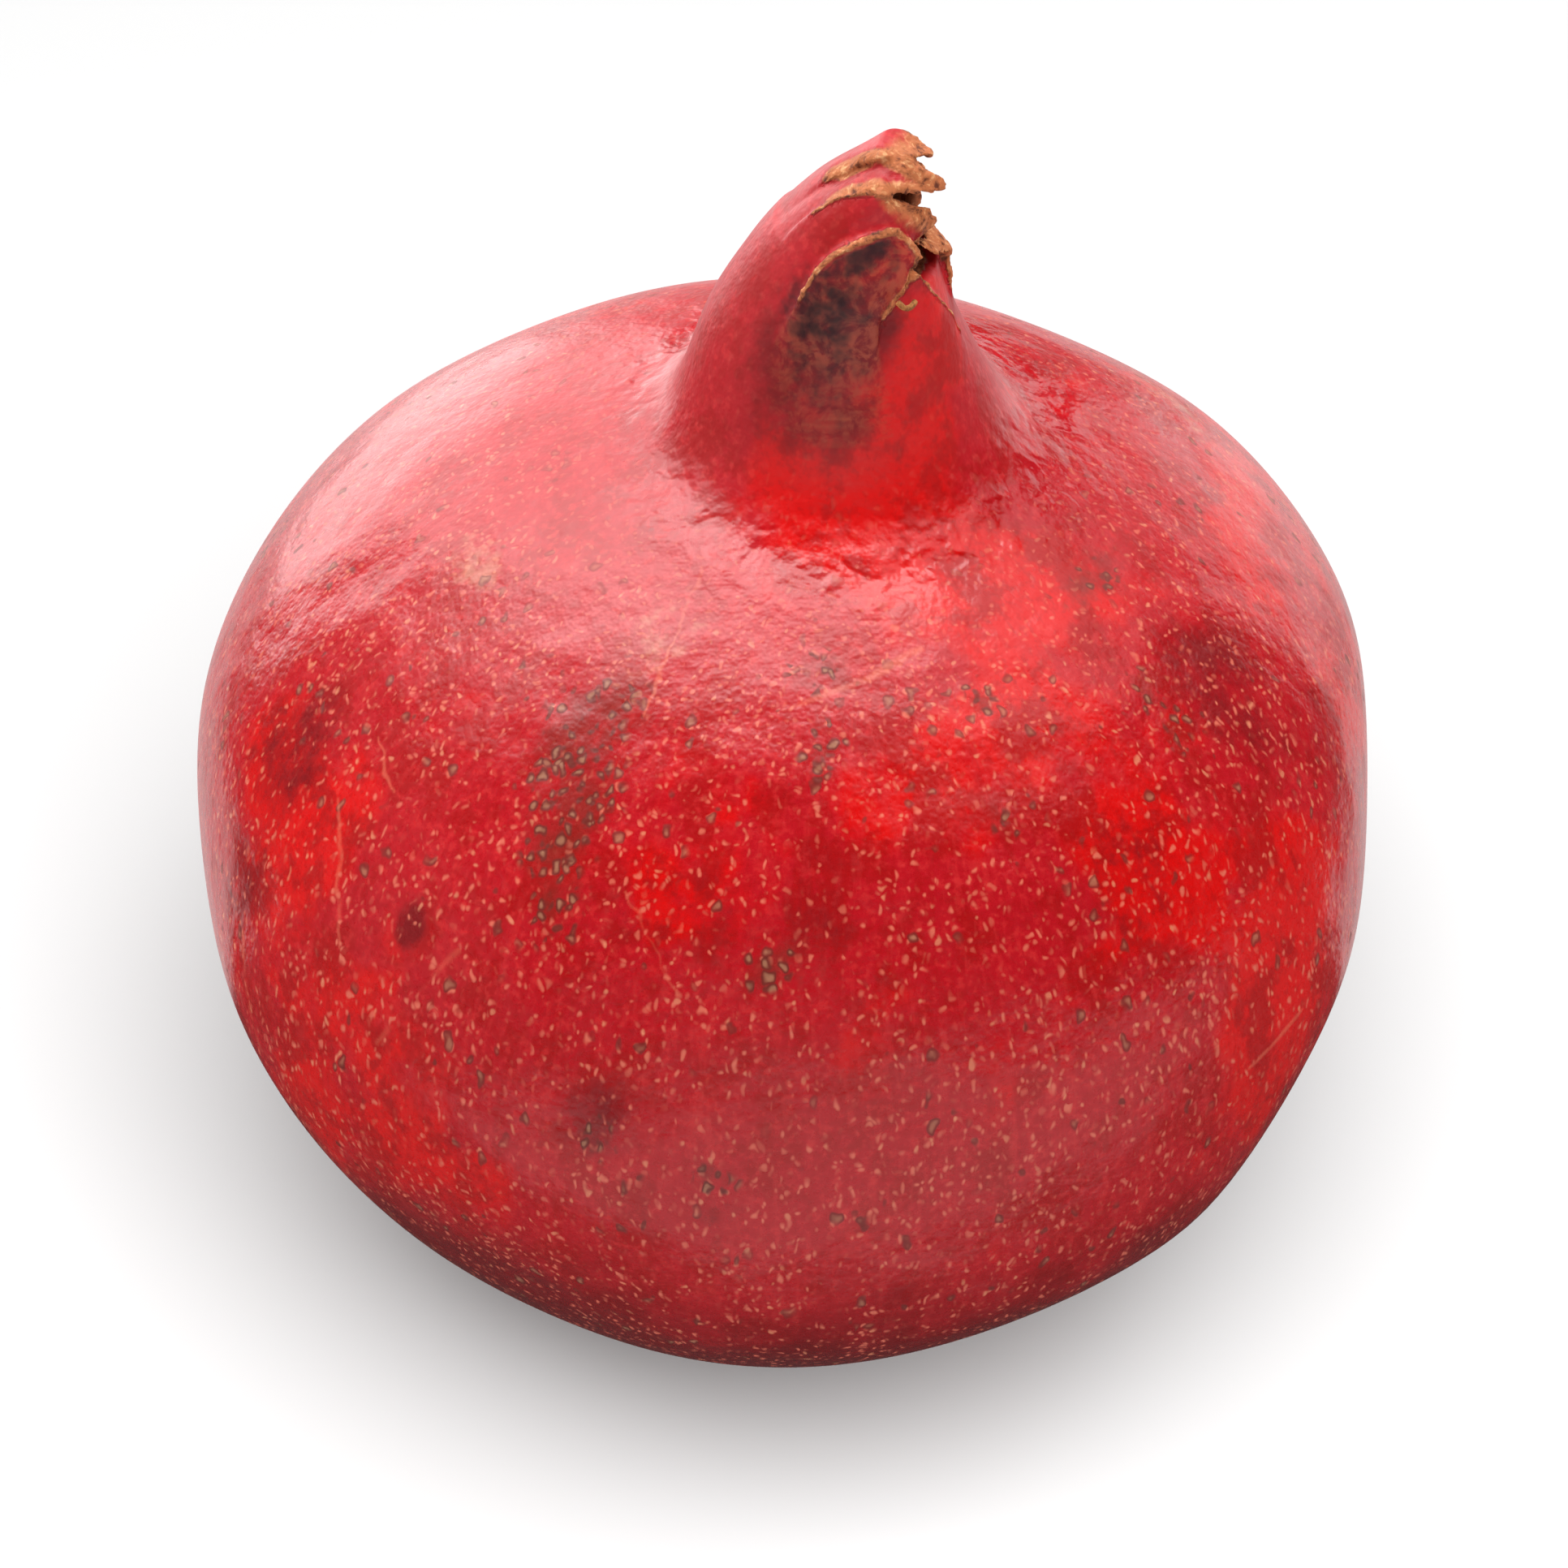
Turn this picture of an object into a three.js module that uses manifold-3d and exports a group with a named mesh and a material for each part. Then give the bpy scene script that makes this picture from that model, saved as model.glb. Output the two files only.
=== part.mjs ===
// A whole ripe pomegranate, standing on its stem end with the dried calyx crown uppermost.
// The rind, the neck, the calyx lobes and the cut stem stub grew as one piece, so they are one solid.
// Millimetres and degrees. +Z is up and the origin is the middle of the small flat spot that the fruit
// rests on. Angles round the fruit are counted from +X towards +Y, so the front, which faces -Y, is at 270.
// Shapes are made about the middle of the body, and the finished fruit is lifted onto the floor.
import * as THREE from "three";
import Module from "manifold-3d";
import { mergeVertices } from "three/addons/utils/BufferGeometryUtils.js";

// The fruit's body.
const EQUATOR_RADIUS = 47.6;
const CROWN_SIDE = 39.2; // from the middle of the body to the crown end
const STEM_SIDE = 37.6; // from the middle of the body to the stem end
const CROWN_FULLNESS = 2; // exponent of the outline above the middle: 2 is an ellipse, more is fuller
const STEM_FULLNESS = 2.18; // the same below the middle
const CENTRE_HEIGHT = 37.2; // of the middle of the body above the floor, which leaves the resting spot

// The flat sides that the seed chambers leave: round is the angle round the fruit, up the slope above the
// equator, and inset how far the flat lies inside the round outline.
const FLATS = [
  { round: 354, up: 4, inset: 1.9 },
  { round: 340, up: -22, inset: 2.0 },
  { round: 306, up: -52, inset: 0.9 },
  { round: 281, up: 6, inset: 0.4 },
  { round: 240, up: -20, inset: 0.5 },
  { round: 190, up: 0, inset: 0.3 },
  { round: 203, up: -30, inset: 0.5 },
  { round: 135, up: -8, inset: 1.2 },
  { round: 120, up: 45, inset: 0.5 },
  { round: 90, up: 47, inset: 1.2 },
  { round: 60, up: 45, inset: 1.1 },
  { round: 75, up: 0, inset: 1.4 },
  { round: 35, up: -28, inset: 1.2 },
];
const FLAT_SOFTNESS = 1.3; // how gently a flat side runs into the round rind
const FLAT_FACING = 0.3; // least cosine between a direction and a flat that can bear on it

// The neck: its middle line is a curve above the middle of the body that bends over towards +X.
const NECK_FOOT = [3.2, 0, 41];
const NECK_ELBOW = [1.9, 0, 53.2];
const NECK_END = [8.2, 0, 61.8];
const FOOT_RADIUS = 11.2;
const END_RADIUS = 2.4;
const NARROWING = 1.15; // 1 narrows evenly along the neck, and more keeps it wide for longer
const NECK_WALL = 2.4;

// Places along the neck's middle line, as shares of its length.
const NECK_START = 0.22; // where the neck takes over from the flare
const LOBE_START = 0.26;
const HOLLOW_FLOOR = 0.34; // of the hollow inside the calyx
const RIM = 0.6;
const HOLLOW_TOP = 0.64; // just above the rim, so that the hollow is open

const HOLLOW_RADIUS = 4.4; // the most that the hollow measures
const FLARE_CENTRE = 4.2; // how far the flare's foot lies off the fruit's axis towards +X
const FLARE_RADIUS = 17; // of the flare's foot
const FLARE_PULL = 0.45; // how long the flare keeps the slope of the body and of the neck

// The calyx lobes: round is the angle round the neck, half the half-width in degrees of the neck, follow the
// share of the middle line up to which the lobe follows the neck, tip the place of its tip from the middle
// of the body, width the tip's half-width, and lift how far it lies outside the neck's surface at the rim,
// so that neighbours overlap.
const LOBES = [
  { round: 62, half: 34, follow: 0.62, tip: [9.8, 3.6, 57.4], width: 2.2, lift: 0.1 },
  { round: 118, half: 38, follow: 0.76, tip: [9.0, 1.8, 61.6], width: 2.2, lift: 0.0 },
  { round: 168, half: 38, follow: 0.68, tip: [11.2, -0.8, 59.9], width: 1.5, lift: 0.1 },
  { round: 212, half: 38, follow: 0.64, tip: [10.4, -2.9, 57.8], width: 1.9, lift: 0.4 },
  { round: 262, half: 34, follow: 0.58, tip: [6.9, -5.7, 58.4], width: 3.0, lift: 0.9 },
  { round: 315, half: 32, follow: 0.5, tip: [9.4, -4.8, 54.6], width: 1.6, lift: 0.4 },
  { round: 10, half: 38, follow: 0.52, tip: [11.5, -0.3, 54.6], width: 2.4, lift: 0.3 },
];
const LOBE_SUNK = 0.3; // how deep a lobe's root starts below the neck's surface
const LOBE_THICKNESS = 1.6;
const TIP_THICKNESS = 1.1;
const TIP_OPENING = 57; // half-angle of the tip's hollow curve
const TIP_CURVE = 1.6; // radius of the tip's hollow curve against the tip's half-width
const TIP_ROUNDNESS = 5; // more keeps the lobe wide for longer before its end rounds off
const TIP_BLUNTNESS = 0.25; // least share of the width, at the very tip

// The stem stub, cut short in its own dimple beside the middle of the resting spot.
const STEM_PLACE = [-7.6, 1.2];
const STEM_RADIUS = 2.3;
const STEM_RECESS = 0.7; // of the stub's end above the floor
const DIMPLE_RADIUS = 4.4;
const DIMPLE_DEPTH = 2;
const STEM_ROOT = 1.5; // how far the stub runs on into the body
const CLEARANCE = 1; // of a cutting shape beyond the surface that it cuts

// How finely the surfaces are divided.
const ROUND_STEPS = 72;
const STEM_STEPS = 32;
const BODY_ROWS = 36;
const POLE_GAP = 0.03; // radians left between the first row of the body and the stem end
const FLARE_ROWS = 9;
const NECK_ROWS = 6;
const DIMPLE_ROWS = 4;
const LOBE_ROWS = 9;
const LOBE_COLUMNS = 10;
const SAME_POINT = 1e-4;
const SLOPE_STEP = 0.02; // of an angle or a share, to find the slope of a surface

const radians = THREE.MathUtils.degToRad;
const { lerp } = THREE.MathUtils;
const vector = (x, y, z) => new THREE.Vector3(x, y, z);
const wasm = await Module();
wasm.setup();

// A closed solid from points and the triangles between them.
function solidOf(points, triangles) {
  const geometry = new THREE.BufferGeometry().setFromPoints(points);
  geometry.setIndex(triangles);
  const merged = mergeVertices(geometry, SAME_POINT);
  const mesh = new wasm.Mesh({
    numProp: 3,
    vertProperties: merged.attributes.position.array,
    triVerts: new Uint32Array(merged.index.array),
  });
  return new wasm.Manifold(mesh);
}

// A closed solid from rings of points that run anticlockwise seen from the end of the last ring.
function solidOfRings(rings) {
  const count = rings[0].length;
  const points = rings.flat();
  const triangles = [];
  for (let row = 0; row + 1 < rings.length; row++) {
    for (let column = 0; column < count; column++) {
      const a = row * count + column;
      const b = row * count + ((column + 1) % count);
      triangles.push(a, b, b + count, a, b + count, a + count);
    }
  }
  const middle = (ring) => {
    const sum = vector(0, 0, 0);
    for (const point of ring) sum.add(point);
    return sum.divideScalar(count);
  };
  const first = points.push(middle(rings[0])) - 1;
  const last = points.push(middle(rings.at(-1))) - 1;
  const top = (rings.length - 1) * count;
  for (let column = 0; column < count; column++) {
    const next = (column + 1) % count;
    triangles.push(first, next, column);
    triangles.push(last, top + column, top + next);
  }
  return solidOf(points, triangles);
}

const ring = (pointAt, steps = ROUND_STEPS) =>
  Array.from({ length: steps }, (_, i) => pointAt((2 * Math.PI * i) / steps));

const levelRing = (radius, z, steps) =>
  ring((round) => vector(radius * Math.cos(round), radius * Math.sin(round), z), steps);

// How far the body reaches along a direction where one flat side cuts it off, or null out of its sight.
function flatReach(out, { round, up, inset }) {
  const level = Math.cos(radians(up));
  const rise = Math.sin(radians(up));
  const facing = vector(
    level * Math.cos(radians(round)),
    level * Math.sin(radians(round)),
    rise,
  );
  const height = up > 0 ? CROWN_SIDE : STEM_SIDE;
  const support = Math.hypot(EQUATOR_RADIUS * level, height * rise);
  const along = out.dot(facing);
  return along > FLAT_FACING ? (support - inset) / along : null;
}

// The body's surface, where down is the angle from the crown end.
function bodyPoint(down, round) {
  const out = vector(
    Math.sin(down) * Math.cos(round),
    Math.sin(down) * Math.sin(round),
    Math.cos(down),
  );
  const height = out.z > 0 ? CROWN_SIDE : STEM_SIDE;
  const fullness = out.z > 0 ? CROWN_FULLNESS : STEM_FULLNESS;
  const level = (Math.sin(down) / EQUATOR_RADIUS) ** fullness;
  const upright = (Math.abs(out.z) / height) ** fullness;
  const reaches = [(level + upright) ** (-1 / fullness)];
  for (const flat of FLATS) {
    const reach = flatReach(out, flat);
    if (reach !== null) reaches.push(reach);
  }
  let sum = 0;
  for (const reach of reaches) sum += Math.exp(-reach / FLAT_SOFTNESS);
  return out.multiplyScalar(-FLAT_SOFTNESS * Math.log(sum));
}

const neckLine = new THREE.QuadraticBezierCurve3(
  vector(...NECK_FOOT),
  vector(...NECK_ELBOW),
  vector(...NECK_END),
);

const neckRadius = (share) => lerp(FOOT_RADIUS, END_RADIUS, share ** NARROWING);

// The direction across the neck that leans towards +X.
function neckSide(share) {
  const forward = neckLine.getTangent(share);
  return vector(forward.z, 0, -forward.x);
}

// A point at a share of the neck's middle line and an angle round it.
function neckPoint(share, round, radius = neckRadius(share)) {
  return neckLine
    .getPoint(share)
    .addScaledVector(neckSide(share), radius * Math.cos(round))
    .add(vector(0, radius * Math.sin(round), 0));
}

// Where the flare leaves the body, as an angle from the crown end.
function flareAngle(round) {
  const across = FLARE_CENTRE * Math.sin(round);
  const reach = FLARE_CENTRE * Math.cos(round) + Math.sqrt(FLARE_RADIUS ** 2 - across ** 2);
  return Math.asin(reach / EQUATOR_RADIUS) * (EQUATOR_RADIUS / CROWN_SIDE);
}

// A point of the flare, where share runs from the body to the neck.
function flarePoint(share, round) {
  const down = flareAngle(round);
  const start = bodyPoint(down, round);
  const end = neckPoint(NECK_START, round);
  const pull = start.distanceTo(end) * FLARE_PULL;
  const leave = bodyPoint(down - SLOPE_STEP, round).sub(start).setLength(pull);
  const arrive = neckPoint(NECK_START + SLOPE_STEP, round).sub(end).setLength(pull);
  return new THREE.CubicBezierCurve3(
    start,
    start.clone().add(leave),
    end.clone().sub(arrive),
    end,
  ).getPoint(share);
}

// The body, the flare and the neck, from the stem end up to the rim.
function rind() {
  const rings = [];
  for (let row = 0; row < BODY_ROWS; row++) {
    const share = row / BODY_ROWS;
    rings.push(
      ring((round) => bodyPoint(lerp(Math.PI - POLE_GAP, flareAngle(round), share), round)),
    );
  }
  for (let row = 0; row < FLARE_ROWS; row++)
    rings.push(ring((round) => flarePoint(row / FLARE_ROWS, round)));
  for (let row = 0; row <= NECK_ROWS; row++) {
    const share = lerp(NECK_START, RIM, row / NECK_ROWS);
    rings.push(ring((round) => neckPoint(share, round)));
  }
  return solidOfRings(rings);
}

// The hollow inside the calyx, open at the rim.
function hollow() {
  const rings = [];
  for (let row = 0; row <= NECK_ROWS; row++) {
    const share = lerp(HOLLOW_FLOOR, HOLLOW_TOP, row / NECK_ROWS);
    const radius = Math.min(neckRadius(share) - NECK_WALL, HOLLOW_RADIUS);
    rings.push(ring((round) => neckPoint(share, round, radius)));
  }
  return solidOfRings(rings);
}

// The line down the middle of a lobe's outer face, from its root in the neck to its tip.
function lobeLine({ round, follow, tip, lift }) {
  const onSurface = (share) => {
    const risen = (share - LOBE_START) / (RIM - LOBE_START);
    const outside = lerp(-LOBE_SUNK, lift, risen);
    return neckPoint(share, radians(round), neckRadius(share) + outside);
  };
  return new THREE.CatmullRomCurve3([
    onSurface(LOBE_START),
    onSurface((LOBE_START + follow) / 2),
    onSurface(follow),
    vector(...tip),
  ]);
}

// One calyx lobe, a thick leaf that runs on from the neck's wall and bends over to its tip.
function lobe(form) {
  const line = lobeLine(form);
  const round = radians(form.round);
  const across = neckSide(RIM)
    .multiplyScalar(-Math.sin(round))
    .add(vector(0, Math.cos(round), 0));
  const outer = [];
  const inner = [];
  for (let row = 0; row <= LOBE_ROWS; row++) {
    const share = row / LOBE_ROWS;
    const forward = line.getTangent(share);
    const sideways = across.clone().projectOnPlane(forward).normalize();
    const out = sideways.clone().cross(forward);
    const curve = lerp(neckRadius(LOBE_START), form.width * TIP_CURVE, share);
    const opening = lerp(radians(form.half), radians(TIP_OPENING), share);
    const end = Math.max(Math.sqrt(1 - share ** TIP_ROUNDNESS), TIP_BLUNTNESS);
    const thickness = lerp(LOBE_THICKNESS, TIP_THICKNESS, share);
    for (let column = 0; column <= LOBE_COLUMNS; column++) {
      const turn = opening * end * ((2 * column) / LOBE_COLUMNS - 1);
      const point = line
        .getPoint(share)
        .addScaledVector(sideways, curve * Math.sin(turn))
        .addScaledVector(out, curve * (Math.cos(turn) - 1));
      outer.push(point);
      inner.push(point.clone().addScaledVector(out, -thickness));
    }
  }
  return leafOf(outer, inner);
}

// A closed leaf from its outer and inner faces, each rows of points that run across the leaf.
function leafOf(outer, inner) {
  const wide = LOBE_COLUMNS + 1;
  const size = outer.length;
  const triangles = [];
  const quad = (a, b, c, d) => triangles.push(a, b, c, a, c, d);
  for (let row = 0; row < LOBE_ROWS; row++) {
    for (let column = 0; column < LOBE_COLUMNS; column++) {
      const a = row * wide + column;
      const b = size + a;
      quad(a, a + 1, a + 1 + wide, a + wide);
      quad(b + 1, b, b + wide, b + 1 + wide);
    }
  }
  const edge = [];
  for (let column = 0; column < LOBE_COLUMNS; column++) edge.push(column);
  for (let row = 0; row < LOBE_ROWS; row++) edge.push(row * wide + LOBE_COLUMNS);
  for (let column = LOBE_COLUMNS; column > 0; column--) edge.push(LOBE_ROWS * wide + column);
  for (let row = LOBE_ROWS; row > 0; row--) edge.push(row * wide);
  edge.forEach((a, i) => {
    const b = edge[(i + 1) % edge.length];
    quad(b, a, size + a, size + b);
  });
  return solidOf([...outer, ...inner], triangles);
}

// The round dimple that the stem stub sits in, with the floor at height 0.
function dimple() {
  const rings = [levelRing(DIMPLE_RADIUS, -CLEARANCE, STEM_STEPS)];
  for (let row = 0; row < DIMPLE_ROWS; row++) {
    const slope = (Math.PI / 2) * (row / DIMPLE_ROWS);
    const radius = DIMPLE_RADIUS * Math.cos(slope);
    rings.push(levelRing(radius, DIMPLE_DEPTH * Math.sin(slope), STEM_STEPS));
  }
  return solidOfRings(rings).translate(STEM_PLACE[0], STEM_PLACE[1], 0);
}

// The stem stub, with the floor at height 0.
function stem() {
  return solidOfRings([
    levelRing(STEM_RADIUS, STEM_RECESS, STEM_STEPS),
    levelRing(STEM_RADIUS, DIMPLE_DEPTH + STEM_ROOT, STEM_STEPS),
  ]).translate(STEM_PLACE[0], STEM_PLACE[1], 0);
}

// Everything below the floor, which leaves the flat spot that the fruit rests on.
function ground() {
  return solidOfRings([
    levelRing(2 * EQUATOR_RADIUS, -STEM_SIDE, STEM_STEPS),
    levelRing(2 * EQUATOR_RADIUS, 0, STEM_STEPS),
  ]);
}

function geometryOf(solid) {
  const { vertProperties, triVerts } = solid.getMesh();
  const geometry = new THREE.BufferGeometry();
  geometry.setAttribute("position", new THREE.BufferAttribute(vertProperties, 3));
  geometry.setIndex(new THREE.BufferAttribute(triVerts, 1));
  geometry.computeVertexNormals();
  return geometry;
}

let fruit = rind().subtract(hollow());
for (const form of LOBES) fruit = fruit.add(lobe(form));
fruit = fruit.translate(0, 0, CENTRE_HEIGHT);
fruit = fruit.subtract(ground()).subtract(dimple()).add(stem());

const skin = new THREE.MeshStandardMaterial({ color: 0xc2121c, roughness: 0.35, metalness: 0 });
const pomegranate = new THREE.Mesh(geometryOf(fruit), skin);
pomegranate.name = "pomegranate";

export default new THREE.Group().add(pomegranate);
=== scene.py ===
"""A whole ripe pomegranate with its dried calyx crown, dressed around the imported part.

Sizes are millimetres and degrees, and become metres where a mesh or a material takes them. Angles round
the fruit are counted from +X towards +Y, so the front, which faces -Y, is at 270.
"""

import logging
import math
from dataclasses import dataclass, field
from enum import Enum
from typing import Sequence

import bmesh
import bpy
import numpy as np
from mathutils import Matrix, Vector
from mathutils.kdtree import KDTree


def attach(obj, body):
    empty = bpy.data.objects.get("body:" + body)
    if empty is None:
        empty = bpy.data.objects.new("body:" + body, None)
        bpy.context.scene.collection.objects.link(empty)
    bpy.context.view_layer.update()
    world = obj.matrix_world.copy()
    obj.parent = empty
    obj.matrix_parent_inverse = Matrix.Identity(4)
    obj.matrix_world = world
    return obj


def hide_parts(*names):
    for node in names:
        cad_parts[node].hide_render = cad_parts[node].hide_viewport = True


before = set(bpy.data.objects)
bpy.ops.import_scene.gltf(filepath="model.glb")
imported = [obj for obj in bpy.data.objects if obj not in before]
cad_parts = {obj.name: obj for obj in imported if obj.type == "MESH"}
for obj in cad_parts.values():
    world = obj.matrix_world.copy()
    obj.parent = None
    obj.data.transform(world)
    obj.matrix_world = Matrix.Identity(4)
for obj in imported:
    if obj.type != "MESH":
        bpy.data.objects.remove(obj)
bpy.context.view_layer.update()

MM = 0.001
NODE = "pomegranate"
BODY = "root"
LEAF_MARKS = ("dry", "inside", "rim", "flap")
log = logging.getLogger("pomegranate")

Point = tuple[float, float, float]
Numbers = np.ndarray


# ---------------------------------------------------------------------------------------------------
# The fruit's form
# ---------------------------------------------------------------------------------------------------


def lerp(low: Numbers | float, high: Numbers | float, share: Numbers | float) -> Numbers | float:
    """The value at a share of the way from low to high."""
    return low + (high - low) * share


def smooth(value: Numbers, low: float, high: float) -> Numbers:
    """A soft step from 0 at low to 1 at high.

    Args:
        value: The numbers to step.
        low: Where the step starts.
        high: Where the step ends, which may be below low.

    Returns:
        Numbers from 0 to 1.
    """
    share = np.clip((value - low) / (high - low), 0.0, 1.0)
    return share * share * (3 - 2 * share)


def through(points: Sequence[Sequence[float]], share: Numbers) -> Numbers:
    """A smooth curve through points at even shares.

    Args:
        points: The points, each of any number of coordinates.
        share: Shares of the curve, from 0 at the first point to 1 at the last.

    Returns:
        One row of coordinates for each share.
    """
    knots = np.array([points[0], *points, points[-1]], float)
    knots[0] = 2 * knots[1] - knots[2]
    knots[-1] = 2 * knots[-2] - knots[-3]
    last = len(points) - 1
    place = np.clip(np.asarray(share, float) * last, 0, last)
    start = np.minimum(place.astype(int), last - 1)
    t = (place - start)[:, None]
    a, b, c, d = (knots[start + i] for i in range(4))
    return 0.5 * (2 * b + (c - a) * t + (2 * a - 5 * b + 4 * c - d) * t**2 + (3 * b - a - 3 * c + d) * t**3)


def length_of(vectors: Numbers) -> Numbers:
    """The length of each row, kept as a column."""
    return np.linalg.norm(vectors, axis=-1, keepdims=True)


@dataclass(frozen=True)
class Flat:
    """A flat side that a seed chamber leaves in the rind.

    Attributes:
        round: Angle round the fruit of the way that it faces.
        up: Its slope above the equator.
        inset: How far it lies inside the round outline.
    """

    round: float
    up: float
    inset: float


@dataclass(frozen=True)
class BodyForm:
    """The round body, about its own middle."""

    equator_radius: float = 47.6
    crown_side: float = 39.2
    stem_side: float = 37.6
    crown_fullness: float = 2.0
    stem_fullness: float = 2.18
    centre_height: float = 37.2
    flat_softness: float = 1.3
    flat_facing: float = 0.3
    flats: tuple[Flat, ...] = (
        Flat(354, 4, 1.9),
        Flat(340, -22, 2.0),
        Flat(306, -52, 0.9),
        Flat(281, 6, 0.4),
        Flat(240, -20, 0.5),
        Flat(190, 0, 0.3),
        Flat(203, -30, 0.5),
        Flat(135, -8, 1.2),
        Flat(120, 45, 0.5),
        Flat(90, 47, 1.2),
        Flat(60, 45, 1.1),
        Flat(75, 0, 1.4),
        Flat(35, -28, 1.2),
    )

    def at(self, down: Numbers, round_: Numbers) -> Numbers:
        """Points of the surface.

        Args:
            down: Angles from the crown end, in radians.
            round_: Angles round the fruit, in radians.

        Returns:
            One row of x, y and z for each pair of angles.
        """
        out = np.stack([np.sin(down) * np.cos(round_), np.sin(down) * np.sin(round_), np.cos(down)], -1)
        crown = out[:, 2] > 0
        height = np.where(crown, self.crown_side, self.stem_side)
        fullness = np.where(crown, self.crown_fullness, self.stem_fullness)
        level = (np.sin(down) / self.equator_radius) ** fullness
        upright = (np.abs(out[:, 2]) / height) ** fullness
        total = np.exp(-((level + upright) ** (-1 / fullness)) / self.flat_softness)
        for flat in self.flats:
            total += self._cut(out, flat)
        return out * (-self.flat_softness * np.log(total))[:, None]

    def _cut(self, out: Numbers, flat: Flat) -> Numbers:
        """How strongly one flat side cuts off the body along each direction.

        Args:
            out: Directions from the middle, one a row.
            flat: The flat side.

        Returns:
            Its share of the soft minimum, 0 where it is out of sight.
        """
        turn, up = math.radians(flat.round), math.radians(flat.up)
        level, rise = math.cos(up), math.sin(up)
        facing = np.array([level * math.cos(turn), level * math.sin(turn), rise])
        height = self.crown_side if flat.up > 0 else self.stem_side
        support = math.hypot(self.equator_radius * level, height * rise)
        along = np.maximum(out @ facing, 1e-6)
        reach = (support - flat.inset) / along
        return np.where(along > self.flat_facing, np.exp(-reach / self.flat_softness), 0.0)


@dataclass(frozen=True)
class NeckForm:
    """The neck, whose middle line is a curve that bends over towards +X."""

    foot: Point = (3.2, 0, 41)
    elbow: Point = (1.9, 0, 53.2)
    end: Point = (8.2, 0, 61.8)
    foot_radius: float = 11.2
    end_radius: float = 2.4
    narrowing: float = 1.15
    least_radius: float = 1.2
    back_pinch: float = 0.45
    tip_pinch: float = 0.65

    def radius(self, share: Numbers) -> Numbers:
        """The neck's radius at shares of its middle line."""
        free = lerp(self.foot_radius, self.end_radius, np.abs(share) ** self.narrowing)
        return np.maximum(free, self.least_radius)

    def at(self, share: Numbers, round_: Numbers, radius: Numbers) -> Numbers:
        """Points round the neck.

        Args:
            share: Shares of the middle line.
            round_: Angles round it, in radians, from +X towards +Y.
            radius: Distances from the middle line.

        Returns:
            One row of x, y and z for each.
        """
        s = share[:, None]
        pinch = self.back_pinch * smooth(share, 0.2, 0.45) + self.tip_pinch * smooth(share, 0.72, 0.95)
        radius = radius - pinch * np.maximum(-np.cos(round_), 0) ** 2
        foot, elbow, end = (np.array(p, float) for p in (self.foot, self.elbow, self.end))
        middle = (1 - s) ** 2 * foot + 2 * s * (1 - s) * elbow + s**2 * end
        forward = 2 * (1 - s) * (elbow - foot) + 2 * s * (end - elbow)
        forward = forward / length_of(forward)
        side = np.stack([forward[:, 2], np.zeros(len(share)), -forward[:, 0]], -1)
        across = (radius * np.cos(round_))[:, None]
        away = (radius * np.sin(round_))[:, None]
        return middle + side * across + np.array([0.0, 1.0, 0.0]) * away


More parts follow.
